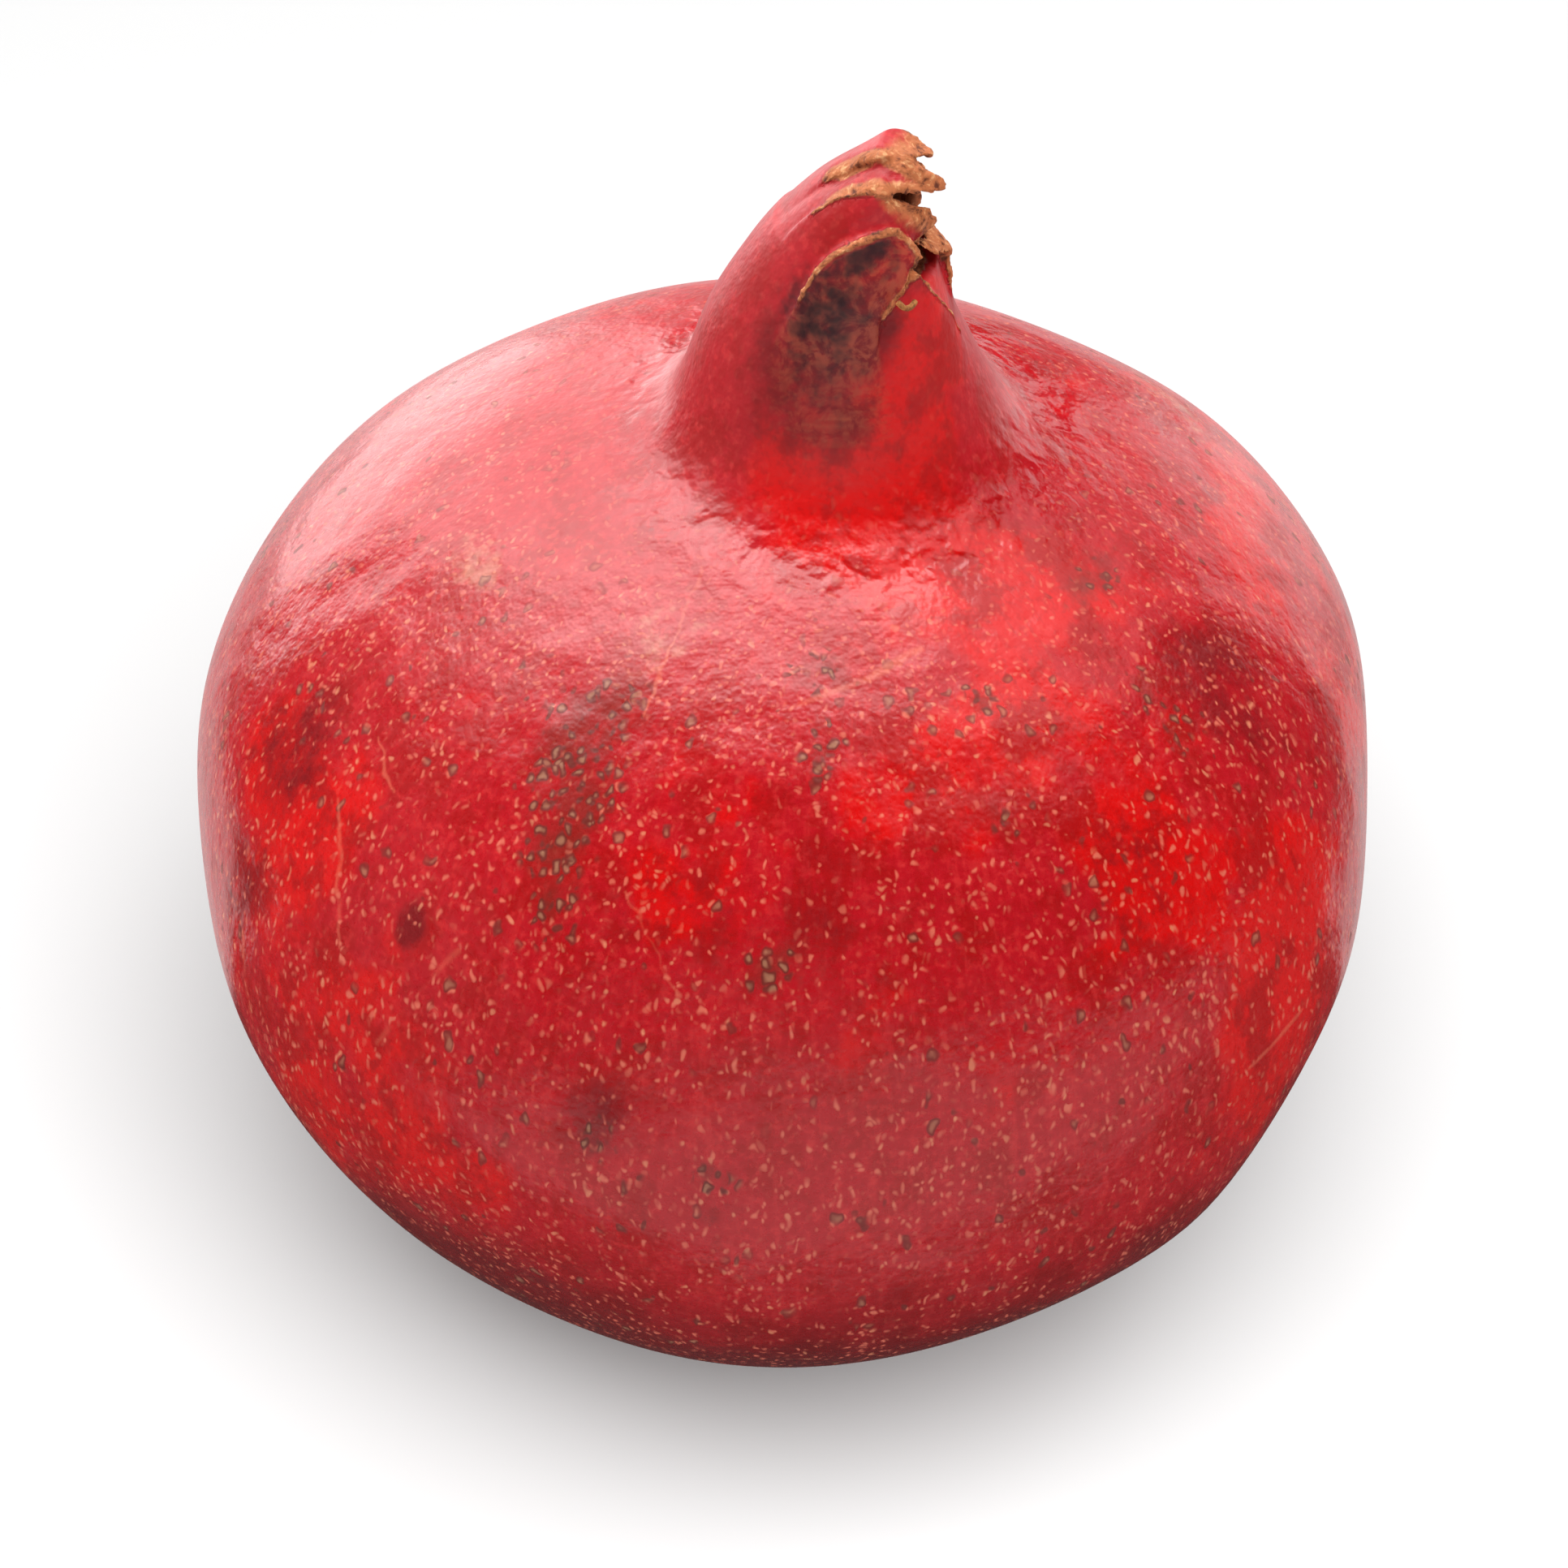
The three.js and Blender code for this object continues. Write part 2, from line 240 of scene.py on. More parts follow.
@dataclass(frozen=True)
class FruitForm:
    """The whole skin: the body, the flare, the neck and the hollow inside the calyx.

    The places along the neck are shares of its middle line. The rows are shares of the way from the
    floor of the hollow, over the rim and down the outside, to the stem end.
    """

    body: BodyForm = BodyForm()
    neck: NeckForm = NeckForm()
    neck_start: float = 0.22
    hollow_floor: float = 0.34
    rim: float = 0.6
    neck_wall: float = 2.4
    hollow_radius: float = 4.4
    flare_centre: float = 4.2
    flare_radius: float = 17.0
    flare_pull: float = 0.45
    slope_step: float = 0.02
    floor_row: float = 0.03
    wall_row: float = 0.10
    rim_row: float = 0.115
    neck_row: float = 0.24
    flare_row: float = 0.36
    dimple_place: tuple[float, float] = (-7.6, 1.2)
    dimple_radius: float = 5.2
    dimple_depth: float = 2.0

    def flare_angle(self, round_: Numbers) -> Numbers:
        """Where the flare leaves the body, as angles from the crown end."""
        across = self.flare_centre * np.sin(round_)
        reach = self.flare_centre * np.cos(round_) + np.sqrt(self.flare_radius**2 - across**2)
        body = self.body
        return np.arcsin(reach / body.equator_radius) * (body.equator_radius / body.crown_side)

    def flare_at(self, share: Numbers, round_: Numbers) -> Numbers:
        """Points of the flare, where share runs from the body to the neck."""
        down = self.flare_angle(round_)
        ones = np.ones_like(share)
        foot, higher = ones * self.neck_start, ones * (self.neck_start + self.slope_step)
        start = self.body.at(down, round_)
        end = self.neck.at(foot, round_, self.neck.radius(foot))
        leave = self.body.at(down - self.slope_step, round_) - start
        arrive = self.neck.at(higher, round_, self.neck.radius(higher)) - end
        pull = length_of(end - start) * self.flare_pull
        after = start + leave / length_of(leave) * pull
        before = end - arrive / length_of(arrive) * pull
        s = share[:, None]
        return (1 - s) ** 3 * start + 3 * s * (1 - s) ** 2 * after + 3 * s**2 * (1 - s) * before + s**3 * end

    def at(self, row: Numbers, round_: Numbers) -> Numbers:
        """Points of the skin, with the floor at height 0.

        Args:
            row: Shares of the way from the floor of the hollow to the stem end.
            round_: Angles round the fruit, in radians.

        Returns:
            One row of x, y and z, in millimetres, for each.
        """
        stops = (0.0, self.floor_row, self.wall_row, self.rim_row, self.neck_row, self.flare_row, 1.0)
        laws = (self._floor, self._wall, self._rim, self._neck, self._flare, self._body)
        points = np.zeros((len(row), 3))
        for low, high, law in zip(stops[:-1], stops[1:], laws):
            here = (row >= low) & ((row < high) | (high == stops[-1]))
            points[here] = law((row[here] - low) / (high - low), round_[here])
        points[:, 2] += self.body.centre_height
        return self._rest(points)

    def _hollow_radius(self, share: Numbers) -> Numbers:
        """The radius of the hollow at shares of the neck."""
        return np.minimum(self.neck.radius(share) - self.neck_wall, self.hollow_radius)

    def _floor(self, t: Numbers, round_: Numbers) -> Numbers:
        """The floor of the hollow."""
        share = np.full_like(t, self.hollow_floor)
        return self.neck.at(share, round_, self._hollow_radius(share) * t)

    def _wall(self, t: Numbers, round_: Numbers) -> Numbers:
        """The wall of the hollow."""
        share = lerp(self.hollow_floor, self.rim, t)
        return self.neck.at(share, round_, self._hollow_radius(share))

    def _rim(self, t: Numbers, round_: Numbers) -> Numbers:
        """The rim between the hollow and the outside."""
        share = np.full_like(t, self.rim)
        return self.neck.at(share, round_, lerp(self._hollow_radius(share), self.neck.radius(share), t))

    def _neck(self, t: Numbers, round_: Numbers) -> Numbers:
        """The outside of the neck."""
        share = lerp(self.rim, self.neck_start, t)
        return self.neck.at(share, round_, self.neck.radius(share))

    def _flare(self, t: Numbers, round_: Numbers) -> Numbers:
        """The flare between the neck and the body."""
        return self.flare_at(1 - t, round_)

    def _body(self, t: Numbers, round_: Numbers) -> Numbers:
        """The body, down to the stem end."""
        return self.body.at(lerp(self.flare_angle(round_), math.pi, t), round_)

    def _rest(self, points: Numbers) -> Numbers:
        """Adds the flat spot that the fruit rests on and the dimple round its stem stub."""
        points[:, 2] = np.maximum(points[:, 2], 0.0)
        low = points[:, 2] < self.body.centre_height / 2
        away = np.hypot(points[:, 0] - self.dimple_place[0], points[:, 1] - self.dimple_place[1])
        points[:, 2] += np.where(low, self.dimple_depth * smooth(away, self.dimple_radius, 0.0), 0.0)
        return points

    def place(self, round_: float, up: float) -> Numbers:
        """A place on the body.

        Args:
            round_: Angle round the fruit, in degrees.
            up: Angle above the equator, in degrees.

        Returns:
            Its x, y and z in millimetres.
        """
        down, turn = np.array([math.radians(90 - up)]), np.array([math.radians(round_)])
        return self.body.at(down, turn)[0] + [0, 0, self.body.centre_height]


# ---------------------------------------------------------------------------------------------------
# Working by hand: selections, modifiers and tidy meshes
# ---------------------------------------------------------------------------------------------------


def deselect() -> None:
    """Leaves edit mode and deselects every object."""
    if bpy.context.object and bpy.context.object.mode != "OBJECT":
        bpy.ops.object.mode_set(mode="OBJECT")
    bpy.ops.object.select_all(action="DESELECT")


def take(piece: bpy.types.Object) -> None:
    """Makes one piece the only selected one and the active one."""
    deselect()
    piece.select_set(True)
    bpy.context.view_layer.objects.active = piece


def added(name: str) -> bpy.types.Object:
    """Names the primitive that was just added."""
    piece = bpy.context.object
    piece.name = name
    piece.data.name = name
    return piece


def places_of(piece: bpy.types.Object) -> Numbers:
    """The places of a mesh's vertices, in metres."""
    co = np.zeros(len(piece.data.vertices) * 3)
    piece.data.vertices.foreach_get("co", co)
    return co.reshape(-1, 3)


def put_places(piece: bpy.types.Object, places: Numbers) -> None:
    """Moves a mesh's vertices to these places, in metres."""
    piece.data.vertices.foreach_set("co", places.ravel())
    piece.data.update()


def modify(piece: bpy.types.Object, kind: str, **settings: object) -> None:
    """Adds a modifier and applies it.

    Args:
        piece: The piece that it shapes.
        kind: The modifier's type.
        settings: Its settings.
    """
    take(piece)
    bpy.ops.object.modifier_add(type=kind)
    modifier = piece.modifiers[-1]
    for name, value in settings.items():
        setattr(modifier, name, value)
    bpy.ops.object.modifier_apply(modifier=modifier.name)


def joined(pieces: Sequence[bpy.types.Object]) -> bpy.types.Object:
    """Joins pieces into the first of them and returns it."""
    take(pieces[0])
    for piece in pieces[1:]:
        piece.select_set(True)
    bpy.ops.object.join()
    return pieces[0]


def copied(piece: bpy.types.Object, name: str) -> bpy.types.Object:
    """A copy of a piece with its own mesh."""
    take(piece)
    bpy.ops.object.duplicate(linked=False)
    return added(name)


def cut_level(piece: bpy.types.Object, height: float, keep_above: bool, fill: bool) -> None:
    """Cuts a piece level and throws one side away.

    Args:
        piece: The piece to cut.
        height: Height of the cut, in millimetres.
        keep_above: Keeps what is above the cut, and otherwise what is below.
        fill: Closes the cut.
    """
    take(piece)
    bpy.ops.object.mode_set(mode="EDIT")
    bpy.ops.mesh.select_all(action="SELECT")
    bpy.ops.mesh.bisect(
        plane_co=(0, 0, height * MM),
        plane_no=(0, 0, 1),
        use_fill=fill,
        clear_inner=keep_above,
        clear_outer=not keep_above,
        threshold=1e-6,
    )
    bpy.ops.object.mode_set(mode="OBJECT")


def write_marks(piece: bpy.types.Object, name: str, values: Numbers) -> None:
    """Keeps one number for each vertex under a name that a material can read."""
    attribute = piece.data.attributes.get(name) or piece.data.attributes.new(name, "FLOAT", "POINT")
    attribute.data.foreach_set("value", np.asarray(values, np.float32))


def finish_piece(piece: bpy.types.Object, material: bpy.types.Material) -> None:
    """Gives a piece its material and its place in the part."""
    piece.data.materials.clear()
    piece.data.materials.append(material)
    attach(piece, BODY)
    log.info("%s: %d faces", piece.name, len(piece.data.polygons))


# ---------------------------------------------------------------------------------------------------
# The calyx leaves
# ---------------------------------------------------------------------------------------------------


@dataclass(frozen=True)
class Leaf:
    """One leaf of the calyx, stretched between its two edges.

    An edge is a few places along the neck, from the root to the tip: the share of the neck's middle
    line, the angle round it in degrees, and how far outside the neck's surface it lies.

    Attributes:
        name: What the leaf is called.
        left: The edge that is first when going round the neck by rising angles.
        right: The other edge.
        dry_from: Share of the leaf's length from which it is dried right across.
        dry_rim: Width of its dried rim.
        rim_curl: How far the rims roll outwards.
        waviness: How far the free rims waver.
        thickness: Its thickness.
        blunt: How far the middle of its end stands out, as a share of the neck's middle line.
        tip: Where the end gathers to, in millimetres, for a pointed leaf.
        pointed: How far the end gathers, from 0 to 1.
        flap: Whether it is the front flap, which is scorched and bruised.
        rows: How many rows of faces it has along it.
        columns: How many it has across it.
        bulge: How far its middle stands out over its edges.
        free_from: Share of its length from which it is free of the neck.
        dry_run: How far it takes to dry right across, as a share of its length.
    """

    name: str
    left: tuple[Point, ...]
    right: tuple[Point, ...]
    dry_from: float
    dry_rim: float
    rim_curl: float = 0.0
    waviness: float = 0.25
    thickness: float = 1.1
    blunt: float = 0.0
    tip: Point | None = None
    pointed: float = 0.85
    flap: bool = False

    rows: int = 70
    columns: int = 44
    bulge: float = 0.25
    free_from: float = 0.45
    dry_run: float = 0.2

    def build(self, form: FruitForm, seed: int) -> bpy.types.Object:
        """Makes the leaf as a closed mesh with its marks.

        Args:
            form: The skin that it grows from.
            seed: Start of its random wavering.

        Returns:
            The leaf.
        """
        deselect()
        bpy.ops.mesh.primitive_grid_add(x_subdivisions=self.columns, y_subdivisions=self.rows, size=2)
        leaf = added(f"leaf_{self.name}")
        flat = places_of(leaf)
        across, along = flat[:, 0], (flat[:, 1] + 1) / 2
        places = self._places(form, across, along, seed)
        put_places(leaf, places * MM)
        self._face_outwards(leaf, form)
        count = len(places)
        modify(leaf, "SOLIDIFY", thickness=self.thickness * MM, offset=-1, use_even_offset=False)
        inner = self._places(form, across, along, seed, self.thickness)
        put_places(leaf, np.concatenate([places, inner]) * MM)
        rim = self._rim_distance(places, across, along)
        dry_rim = smooth(rim, self.dry_rim, self.dry_rim * 0.35)
        dry = np.maximum(dry_rim, smooth(along, self.dry_from, self.dry_from + self.dry_run))
        inside = np.arange(2 * count) >= count
        dry, rim = np.where(inside, 1.0, np.tile(dry, 2)), np.tile(rim, 2)
        for name, values in zip(LEAF_MARKS, (dry, inside, rim, np.full(2 * count, self.flap))):
            write_marks(leaf, name, values)
        return leaf

    def _places(
        self, form: FruitForm, across: Numbers, along: Numbers, seed: int, depth: float = 0.0
    ) -> Numbers:
        """Where the leaf's outer face lies, or a layer under it.

        Args:
            form: The skin that it grows from.
            across: Places across it, from -1 on the left edge to 1 on the right.
            along: Shares of its length.
            seed: Start of its random wavering.
            depth: How deep under the outer face the layer lies.

        Returns:
            One row of x, y and z in millimetres for each.
        """
        left, right = through(self.left, along), through(self.right, along)
        side = ((across + 1) / 2)[:, None]
        share, turn, lift = (left * (1 - side) + right * side).T
        end = smooth(along, 0.75, 1.0)
        share = share + self.blunt * (1 - across**2) * end
        free = smooth(along, self.free_from, 0.9)
        lift = lift + self.bulge * (1 - across**2) * (1 - end)
        lift = lift + self.rim_curl * smooth(np.abs(across), 0.72, 1.0) * free
        random = np.random.default_rng(seed)
        wave = np.zeros_like(along)
        for cycles in (3.0, 5.5, 9.0):
            start, start_across = random.uniform(0, 2 * math.pi, 2)
            wave += np.sin(2 * math.pi * cycles * along + start + across * 2.5 + start_across) / cycles**0.6
        rim = np.maximum(smooth(np.abs(across), 0.55, 1.0), smooth(along, 0.85, 1.0))
        lift = lift + self.waviness * wave * rim * free - depth
        neck = form.neck
        places = neck.at(share, np.radians(turn), neck.radius(share) + lift)
        places[:, 2] += form.body.centre_height
        if self.tip is not None:
            gathered = smooth(along, 0.8, 1.0)[:, None] * self.pointed
            tip = np.array(self.tip) + np.array([-0.4, 0.4, -0.8]) * depth
            places = places * (1 - gathered) + tip * gathered
        return places

    def _face_outwards(self, leaf: bpy.types.Object, form: FruitForm) -> None:
        """Turns the faces so that they point away from the middle of the neck."""
        leaf.data.update()
        middle = np.array(form.neck.elbow, float) + [2.0, 0, form.body.centre_height - 6]
        towards = sum(
            face.normal.dot(face.center / MM - Vector(middle)) for face in leaf.data.polygons
        )
        if towards < 0:
            leaf.data.flip_normals()

    def _rim_distance(self, places: Numbers, across: Numbers, along: Numbers) -> Numbers:
        """How far each place is from the nearest free rim, in millimetres."""
        edge = (np.abs(across) > 0.999) & (along > self.free_from) | (along > 0.999)
        tree = KDTree(int(edge.sum()))
        for index, place in enumerate(places[edge]):
            tree.insert(place, index)
        tree.balance()
        return np.array([tree.find(place)[2] for place in places])


LEAVES = (
    Leaf(
        "back",
        left=((0.12, 40, -0.4), (0.4, 42, 0.0), (0.62, 38, 0.0), (0.8, 32, 0.0), (0.93, 20, 0.0)),
        right=((0.12, 120, -0.4), (0.4, 118, -0.2), (0.65, 114, -0.4), (0.82, 108, -0.5), (0.95, 90, -0.3)),
        tip=(9.6, 1.6, 96.4),
        dry_from=0.82,
        dry_rim=0.8,
    ),
    Leaf(
        "top",
        left=(
            (0.12, 105, -0.4), (0.5, 106, -0.4), (0.72, 104, -0.5), (0.86, 98, -0.5),
            (0.95, 88, -0.4), (1.0, 75, -0.2), (1.02, 60, 0.0),
        ),
        right=(
            (0.12, 182, -0.5), (0.5, 180, -0.4), (0.7, 182, -0.3), (0.84, 192, 0.1),
            (0.91, 205, 0.4), (0.97, 221, 0.5), (1.03, 246, 0.4),
        ),
        tip=(10.4, 0.6, 98.2),
        dry_from=0.76,
        dry_rim=1.6,
        rim_curl=0.2,
        thickness=1.0,
    ),
    Leaf(
        "upper",
        left=(
            (0.12, 165, -0.6), (0.5, 168, -0.6), (0.72, 176, -0.7), (0.86, 190, -0.8),
            (0.95, 208, -0.9), (1.0, 240, -0.7), (1.0, 300, 0.2),
        ),
        right=(
            (0.12, 222, -0.4), (0.5, 218, -0.2), (0.7, 222, -0.1), (0.81, 229, 0.2),
            (0.87, 240, 0.5), (0.915, 258, 0.6), (0.945, 300, 0.7),
        ),
        tip=(12.0, -0.6, 96.9),
        pointed=0.6,
        dry_from=0.78,
        dry_rim=1.6,
        rim_curl=0.3,
        waviness=0.3,
        thickness=1.2,
    ),
    Leaf(
        "middle",
        left=(
            (0.12, 205, -0.4), (0.5, 204, -0.2), (0.66, 208, 0.2), (0.75, 215, 0.5),
            (0.83, 225, 0.6), (0.9, 248, 0.7), (0.93, 300, 0.7),
        ),
        right=(
            (0.12, 262, -0.4), (0.45, 264, -0.4), (0.58, 272, -0.4), (0.68, 288, -0.4),
            (0.76, 308, -0.2), (0.8, 325, 0.2), (0.83, 340, 0.5),
        ),
        tip=(10.5, -1.2, 94.6),
        pointed=0.55,
        dry_from=0.74,
        dry_rim=0.35,
        waviness=0.15,
        thickness=0.8,
    ),
    Leaf(
        "right",
        left=(
            (0.12, -5, -0.5), (0.3, -2, -0.2), (0.42, 4, 0.3), (0.54, 10, 1.0),
            (0.64, 4, 1.2), (0.73, -25, 1.0), (0.78, -48, 0.9),
        ),
        right=(
            (0.12, 55, -0.4), (0.35, 54, 0.0), (0.5, 51, 0.1), (0.6, 46, 0.2),
            (0.67, 36, 0.0), (0.72, 5, -0.2), (0.77, -40, -0.2),
        ),
        dry_from=0.5,
        dry_rim=2.2,
        rim_curl=0.1,
        waviness=0.2,
        thickness=1.0,
    ),
    Leaf(
        "low",
        left=((0.1, 286, -0.4), (0.25, 286, -0.3), (0.4, 286, -0.2), (0.54, 293, 0.0), (0.66, 308, 0.3)),
        right=((0.1, 360, -0.4), (0.22, 352, 0.1), (0.34, 349, 0.4), (0.48, 343, 0.5), (0.68, 318, 0.5)),
        dry_from=1.2,
        dry_rim=0.35,
        waviness=0.1,
    ),
    Leaf(
        "front",
        left=(
            (0.12, 238, -0.5), (0.32, 237, -0.2), (0.48, 240, 0.4), (0.56, 241, 0.9),
            (0.63, 242, 1.0), (0.71, 248, 1.0), (0.77, 258, 1.0),
        ),
        right=(
            (0.12, 300, -0.4), (0.32, 292, 0.0), (0.5, 288, 0.6), (0.58, 291, 1.0),
            (0.66, 299, 1.1), (0.73, 304, 1.2), (0.78, 308, 1.2),
        ),
        dry_from=1.2,
        dry_rim=0.6,
        rim_curl=0.2,
        waviness=0.25,
        blunt=0.065,
        flap=True,
    ),
)


# ---------------------------------------------------------------------------------------------------
# The rind
# ---------------------------------------------------------------------------------------------------


class Mark(Enum):
    """What a patch of the skin shows."""

    BRUISE = "bruise"
    RUSSET = "russet"
    WASH = "wash"
    SCORCH = "scorch"
    FLUSH = "flush"


@dataclass(frozen=True)
class Patch:
    """A soft patch on the body.

    Attributes:
        mark: What it shows.
        round: Angle round the fruit of its middle.
        up: Angle of its middle above the equator.
        wide: Its half-width round the fruit, in millimetres.
        high: Its half-height along the fruit, in millimetres.
        lean: How far its upper end leans to the right, in degrees.
        strength: How strongly it shows.
    """

    mark: Mark
    round: float
    up: float
    wide: float
    high: float
    lean: float = 0.0
    strength: float = 1.0


def patches(mark: Mark, *rows: Sequence[float]) -> tuple[Patch, ...]:
    """Patches of one mark, a row for each, with the numbers of a Patch in order."""
    return tuple(Patch(mark, *row) for row in rows)


PATCHES = (
    *patches(
        Mark.BRUISE,
        (333, 36, 5.5, 8.0, -8, 0.72),
        (341, 26, 4.0, 6.5, 0, 0.55),
        (205, 26, 4.5, 6.5, 10, 0.8),
        (207, 14, 4.0, 7.0, 0, 0.5),
        (230, 23, 1.3, 2.2, 0, 1.0),
        (253, 12, 3.4, 3.2, 0, 0.7),
        (306, 29, 6.0, 4.5, 0, 0.45),
        (262, 4, 5.0, 4.0, 0, 0.4),
        (266, 31, 13.0, 7.0, 0, 0.36),
    ),
    *patches(
        Mark.RUSSET,
        (241, 46, 3.2, 5.5, 20, 1.0),
        (243, 38, 3.0, 5.5, 12, 0.9),
        (245, 31, 2.2, 3.0, 0, 0.7),
        (275, 55, 2.8, 1.8, 0, 0.9),
        (274, 48, 1.6, 3.4, 10, 0.6),
        (299, 49, 1.2, 1.4, 0, 0.8),
        (330, 53, 4.0, 1.6, 0, 0.8),
        (268, 28, 1.8, 2.0, 0, 0.9),
        (252, 11, 1.8, 1.8, 0, 0.9),
        (263, 8, 2.0, 1.4, 0, 0.8),
        (295, 37, 1.0, 2.4, 0, 0.7),
        (322, 39, 1.6, 4.0, 0, 0.7),
    ),
    *patches(
        Mark.FLUSH,
        (213, 24, 9.0, 8.0, 0, 1.0),
        (226, 4, 11.0, 13.0, 0, 1.0),
        (258, 38, 7.0, 6.0, 0, 0.75),
        (296, 45, 10.0, 6.0, 0, 1.0),
        (308, 57, 9.0, 7.0, 0, 1.0),
        (312, 28, 9.0, 8.0, 0, 1.0),
        (322, 12, 9.0, 12.0, 0, 1.0),
        (15, 20, 22.0, 20.0, 0, 0.9),
        (100, 30, 30.0, 16.0, 0, 0.9),
        (285, 72, 9.0, 6.0, 0, 1.0),
    ),
    *patches(
        Mark.WASH,
        (205, 53, 4.0, 2.6, 0, 0.8),
        (28, 40, 6.0, 3.0, 0, 0.7),
        (245, 56, 3.0, 4.0, 20, 0.6),
    ),
)


@dataclass(frozen=True)
class NeckPatch:
    """A soft round patch on the neck or on a leaf.

    Attributes:
        mark: What it shows.
        share: Share of the neck's middle line at which its middle lies.
        turn: Angle round the neck of its middle.
        wide: Its radius, in millimetres.
        strength: How strongly it shows.
    """

    mark: Mark
    share: float
    turn: float
    wide: float
    strength: float = 1.0


NECK_PATCHES = (
    NeckPatch(Mark.BRUISE, 0.24, 264, 4.2, 0.75),
    NeckPatch(Mark.BRUISE, 0.36, 256, 5.4, 0.8),
    NeckPatch(Mark.BRUISE, 0.2, 240, 4.0, 0.5),
    NeckPatch(Mark.BRUISE, 0.45, 268, 5.0, 1.0),
    NeckPatch(Mark.SCORCH, 0.52, 256, 3.4, 0.85),
    NeckPatch(Mark.SCORCH, 0.4, 262, 3.2, 0.6),
    NeckPatch(Mark.SCORCH, 0.28, 262, 3.2, 0.4),
    NeckPatch(Mark.FLUSH, 0.15, 300, 7.0, 1.0),
    NeckPatch(Mark.FLUSH, 0.35, 322, 6.0, 1.0),
)


@dataclass
class Rind:
    """The leathery skin with the neck and the calyx leaves, all grown as one piece.

    Attributes:
        form: The form of the skin.
        leaves: The calyx leaves.
        patches: The patches on the body.
        neck_patches: The patches on the neck and the leaves.
        segments: How many faces the body has round it.
        rings: How many rings of faces the body has.
        seam_height: Height at which the crown and the body are joined.
        seam_gap: How far apart they are before they are joined.
        block_margin: How far below the seam the crown's block starts.
        crown_grain: Size of the crown's faces.
        hollow_margin: How far past the hollow's wall the skin counts as its inside.
        far_rim: The distance from a rim that is marked where there is no rim.
        crinkles: Size and depth of the crinkles of what is dried.
        dry_steps: How many steps of dryness the crinkles tell apart.
        seed: Start of the leaves' random wavering.
    """

    form: FruitForm = field(default_factory=FruitForm)
    leaves: tuple[Leaf, ...] = LEAVES
    patches: tuple[Patch, ...] = PATCHES
    neck_patches: tuple[NeckPatch, ...] = NECK_PATCHES
    segments: int = 288
    rings: int = 224
    seam_height: float = 79.0
    seam_gap: float = 0.25
    block_margin: float = 2.0
    crown_grain: float = 0.24
    hollow_margin: float = 0.9
    far_rim: float = 9.0
    crinkles: tuple[tuple[float, float], ...] = ((1.6, 0.55), (0.7, 0.3))
    dry_steps: int = 10
    seed: int = 7

    def build(self) -> bpy.types.Object:
        """Makes the finished mesh, with the marks that its material reads."""
        skin = self._skin()
        crown = self._crown(skin)
        cut_level(skin, self.seam_height, keep_above=False, fill=False)
        rind = joined([skin, crown])
        rind.name = rind.data.name = "rind"
        self._bridge(rind)
        self._paint(rind)
        take(rind)
        bpy.ops.object.shade_smooth()
        return rind

    def _skin(self) -> bpy.types.Object:
        """The body, the flare, the neck and the hollow, as one closed mesh."""
        deselect()
        bpy.ops.mesh.primitive_uv_sphere_add(segments=self.segments, ring_count=self.rings, radius=1)
        skin = added("skin")
        ball = places_of(skin)
        row = np.arccos(np.clip(ball[:, 2], -1, 1)) / math.pi
        turn = np.arctan2(ball[:, 1], ball[:, 0])
        put_places(skin, self.form.at(row, turn) * MM)
        return skin

    def _crown(self, skin: bpy.types.Object) -> bpy.types.Object:
        """The neck with its leaves, fused and cut off at the seam.

        Args:
            skin: The closed skin, which is left as it is.

        Returns:
            The crown, open at the seam, with the leaves' marks.
        """
        block = copied(skin, "crown")
        cut_level(block, self.seam_height - self.block_margin, keep_above=True, fill=True)
        count = len(block.data.vertices)
        for name in LEAF_MARKS:
            write_marks(block, name, np.full(count, self.far_rim if name == "rim" else 0.0))
        self._mark_hollow(block)
        leaves = [leaf.build(self.form, self.seed + i) for i, leaf in enumerate(self.leaves)]
        crown = joined([block, *leaves])
        marks = self._marks_of(crown)
        modify(crown, "REMESH", mode="VOXEL", voxel_size=self.crown_grain * MM, adaptivity=0)
        modify(crown, "SMOOTH", factor=0.5, iterations=3)
        self._carry_marks(crown, *marks)
        self._crinkle(crown)
        cut_level(crown, self.seam_height + self.seam_gap, keep_above=True, fill=False)
        return crown

    def _mark_hollow(self, block: bpy.types.Object) -> None:
        """Marks the inside of the neck's hollow as dry and as inside, which the material paints darker as
        painted shade.
        """
        places = places_of(block) / MM
        form = self.form
        line = np.linspace(form.hollow_floor - 0.02, form.rim, 12)
        middle = form.neck.at(line, np.zeros_like(line), np.zeros_like(line))
        middle[:, 2] += form.body.centre_height
        away = np.min(np.linalg.norm(places[:, None] - middle[None], axis=-1), axis=1)
        inside = (away < form.hollow_radius + self.hollow_margin).astype(float)
        write_marks(block, "inside", inside)
        write_marks(block, "dry", inside)

    def _marks_of(self, piece: bpy.types.Object) -> tuple[Numbers, dict[str, Numbers]]:
        """The places and marks of a mesh's vertices, to carry over to another mesh."""
        marks = {}
        for name in LEAF_MARKS:
            values = np.zeros(len(piece.data.vertices))
            piece.data.attributes[name].data.foreach_get("value", values)
            marks[name] = values
        return places_of(piece), marks

    def _carry_marks(self, piece: bpy.types.Object, places: Numbers, marks: dict[str, Numbers]) -> None:
        """Gives each vertex the mean marks of the nearest old vertices.

        Args:
            piece: The mesh to mark.
            places: The old mesh's places.
            marks: The old mesh's marks.
        """
        tree = KDTree(len(places))
        for index, place in enumerate(places):
            tree.insert(place, index)
        tree.balance()
        near = np.array([[n[1] for n in tree.find_n(place, 3)] for place in places_of(piece)])
        for name, values in marks.items():
            write_marks(piece, name, values[near].mean(axis=1))

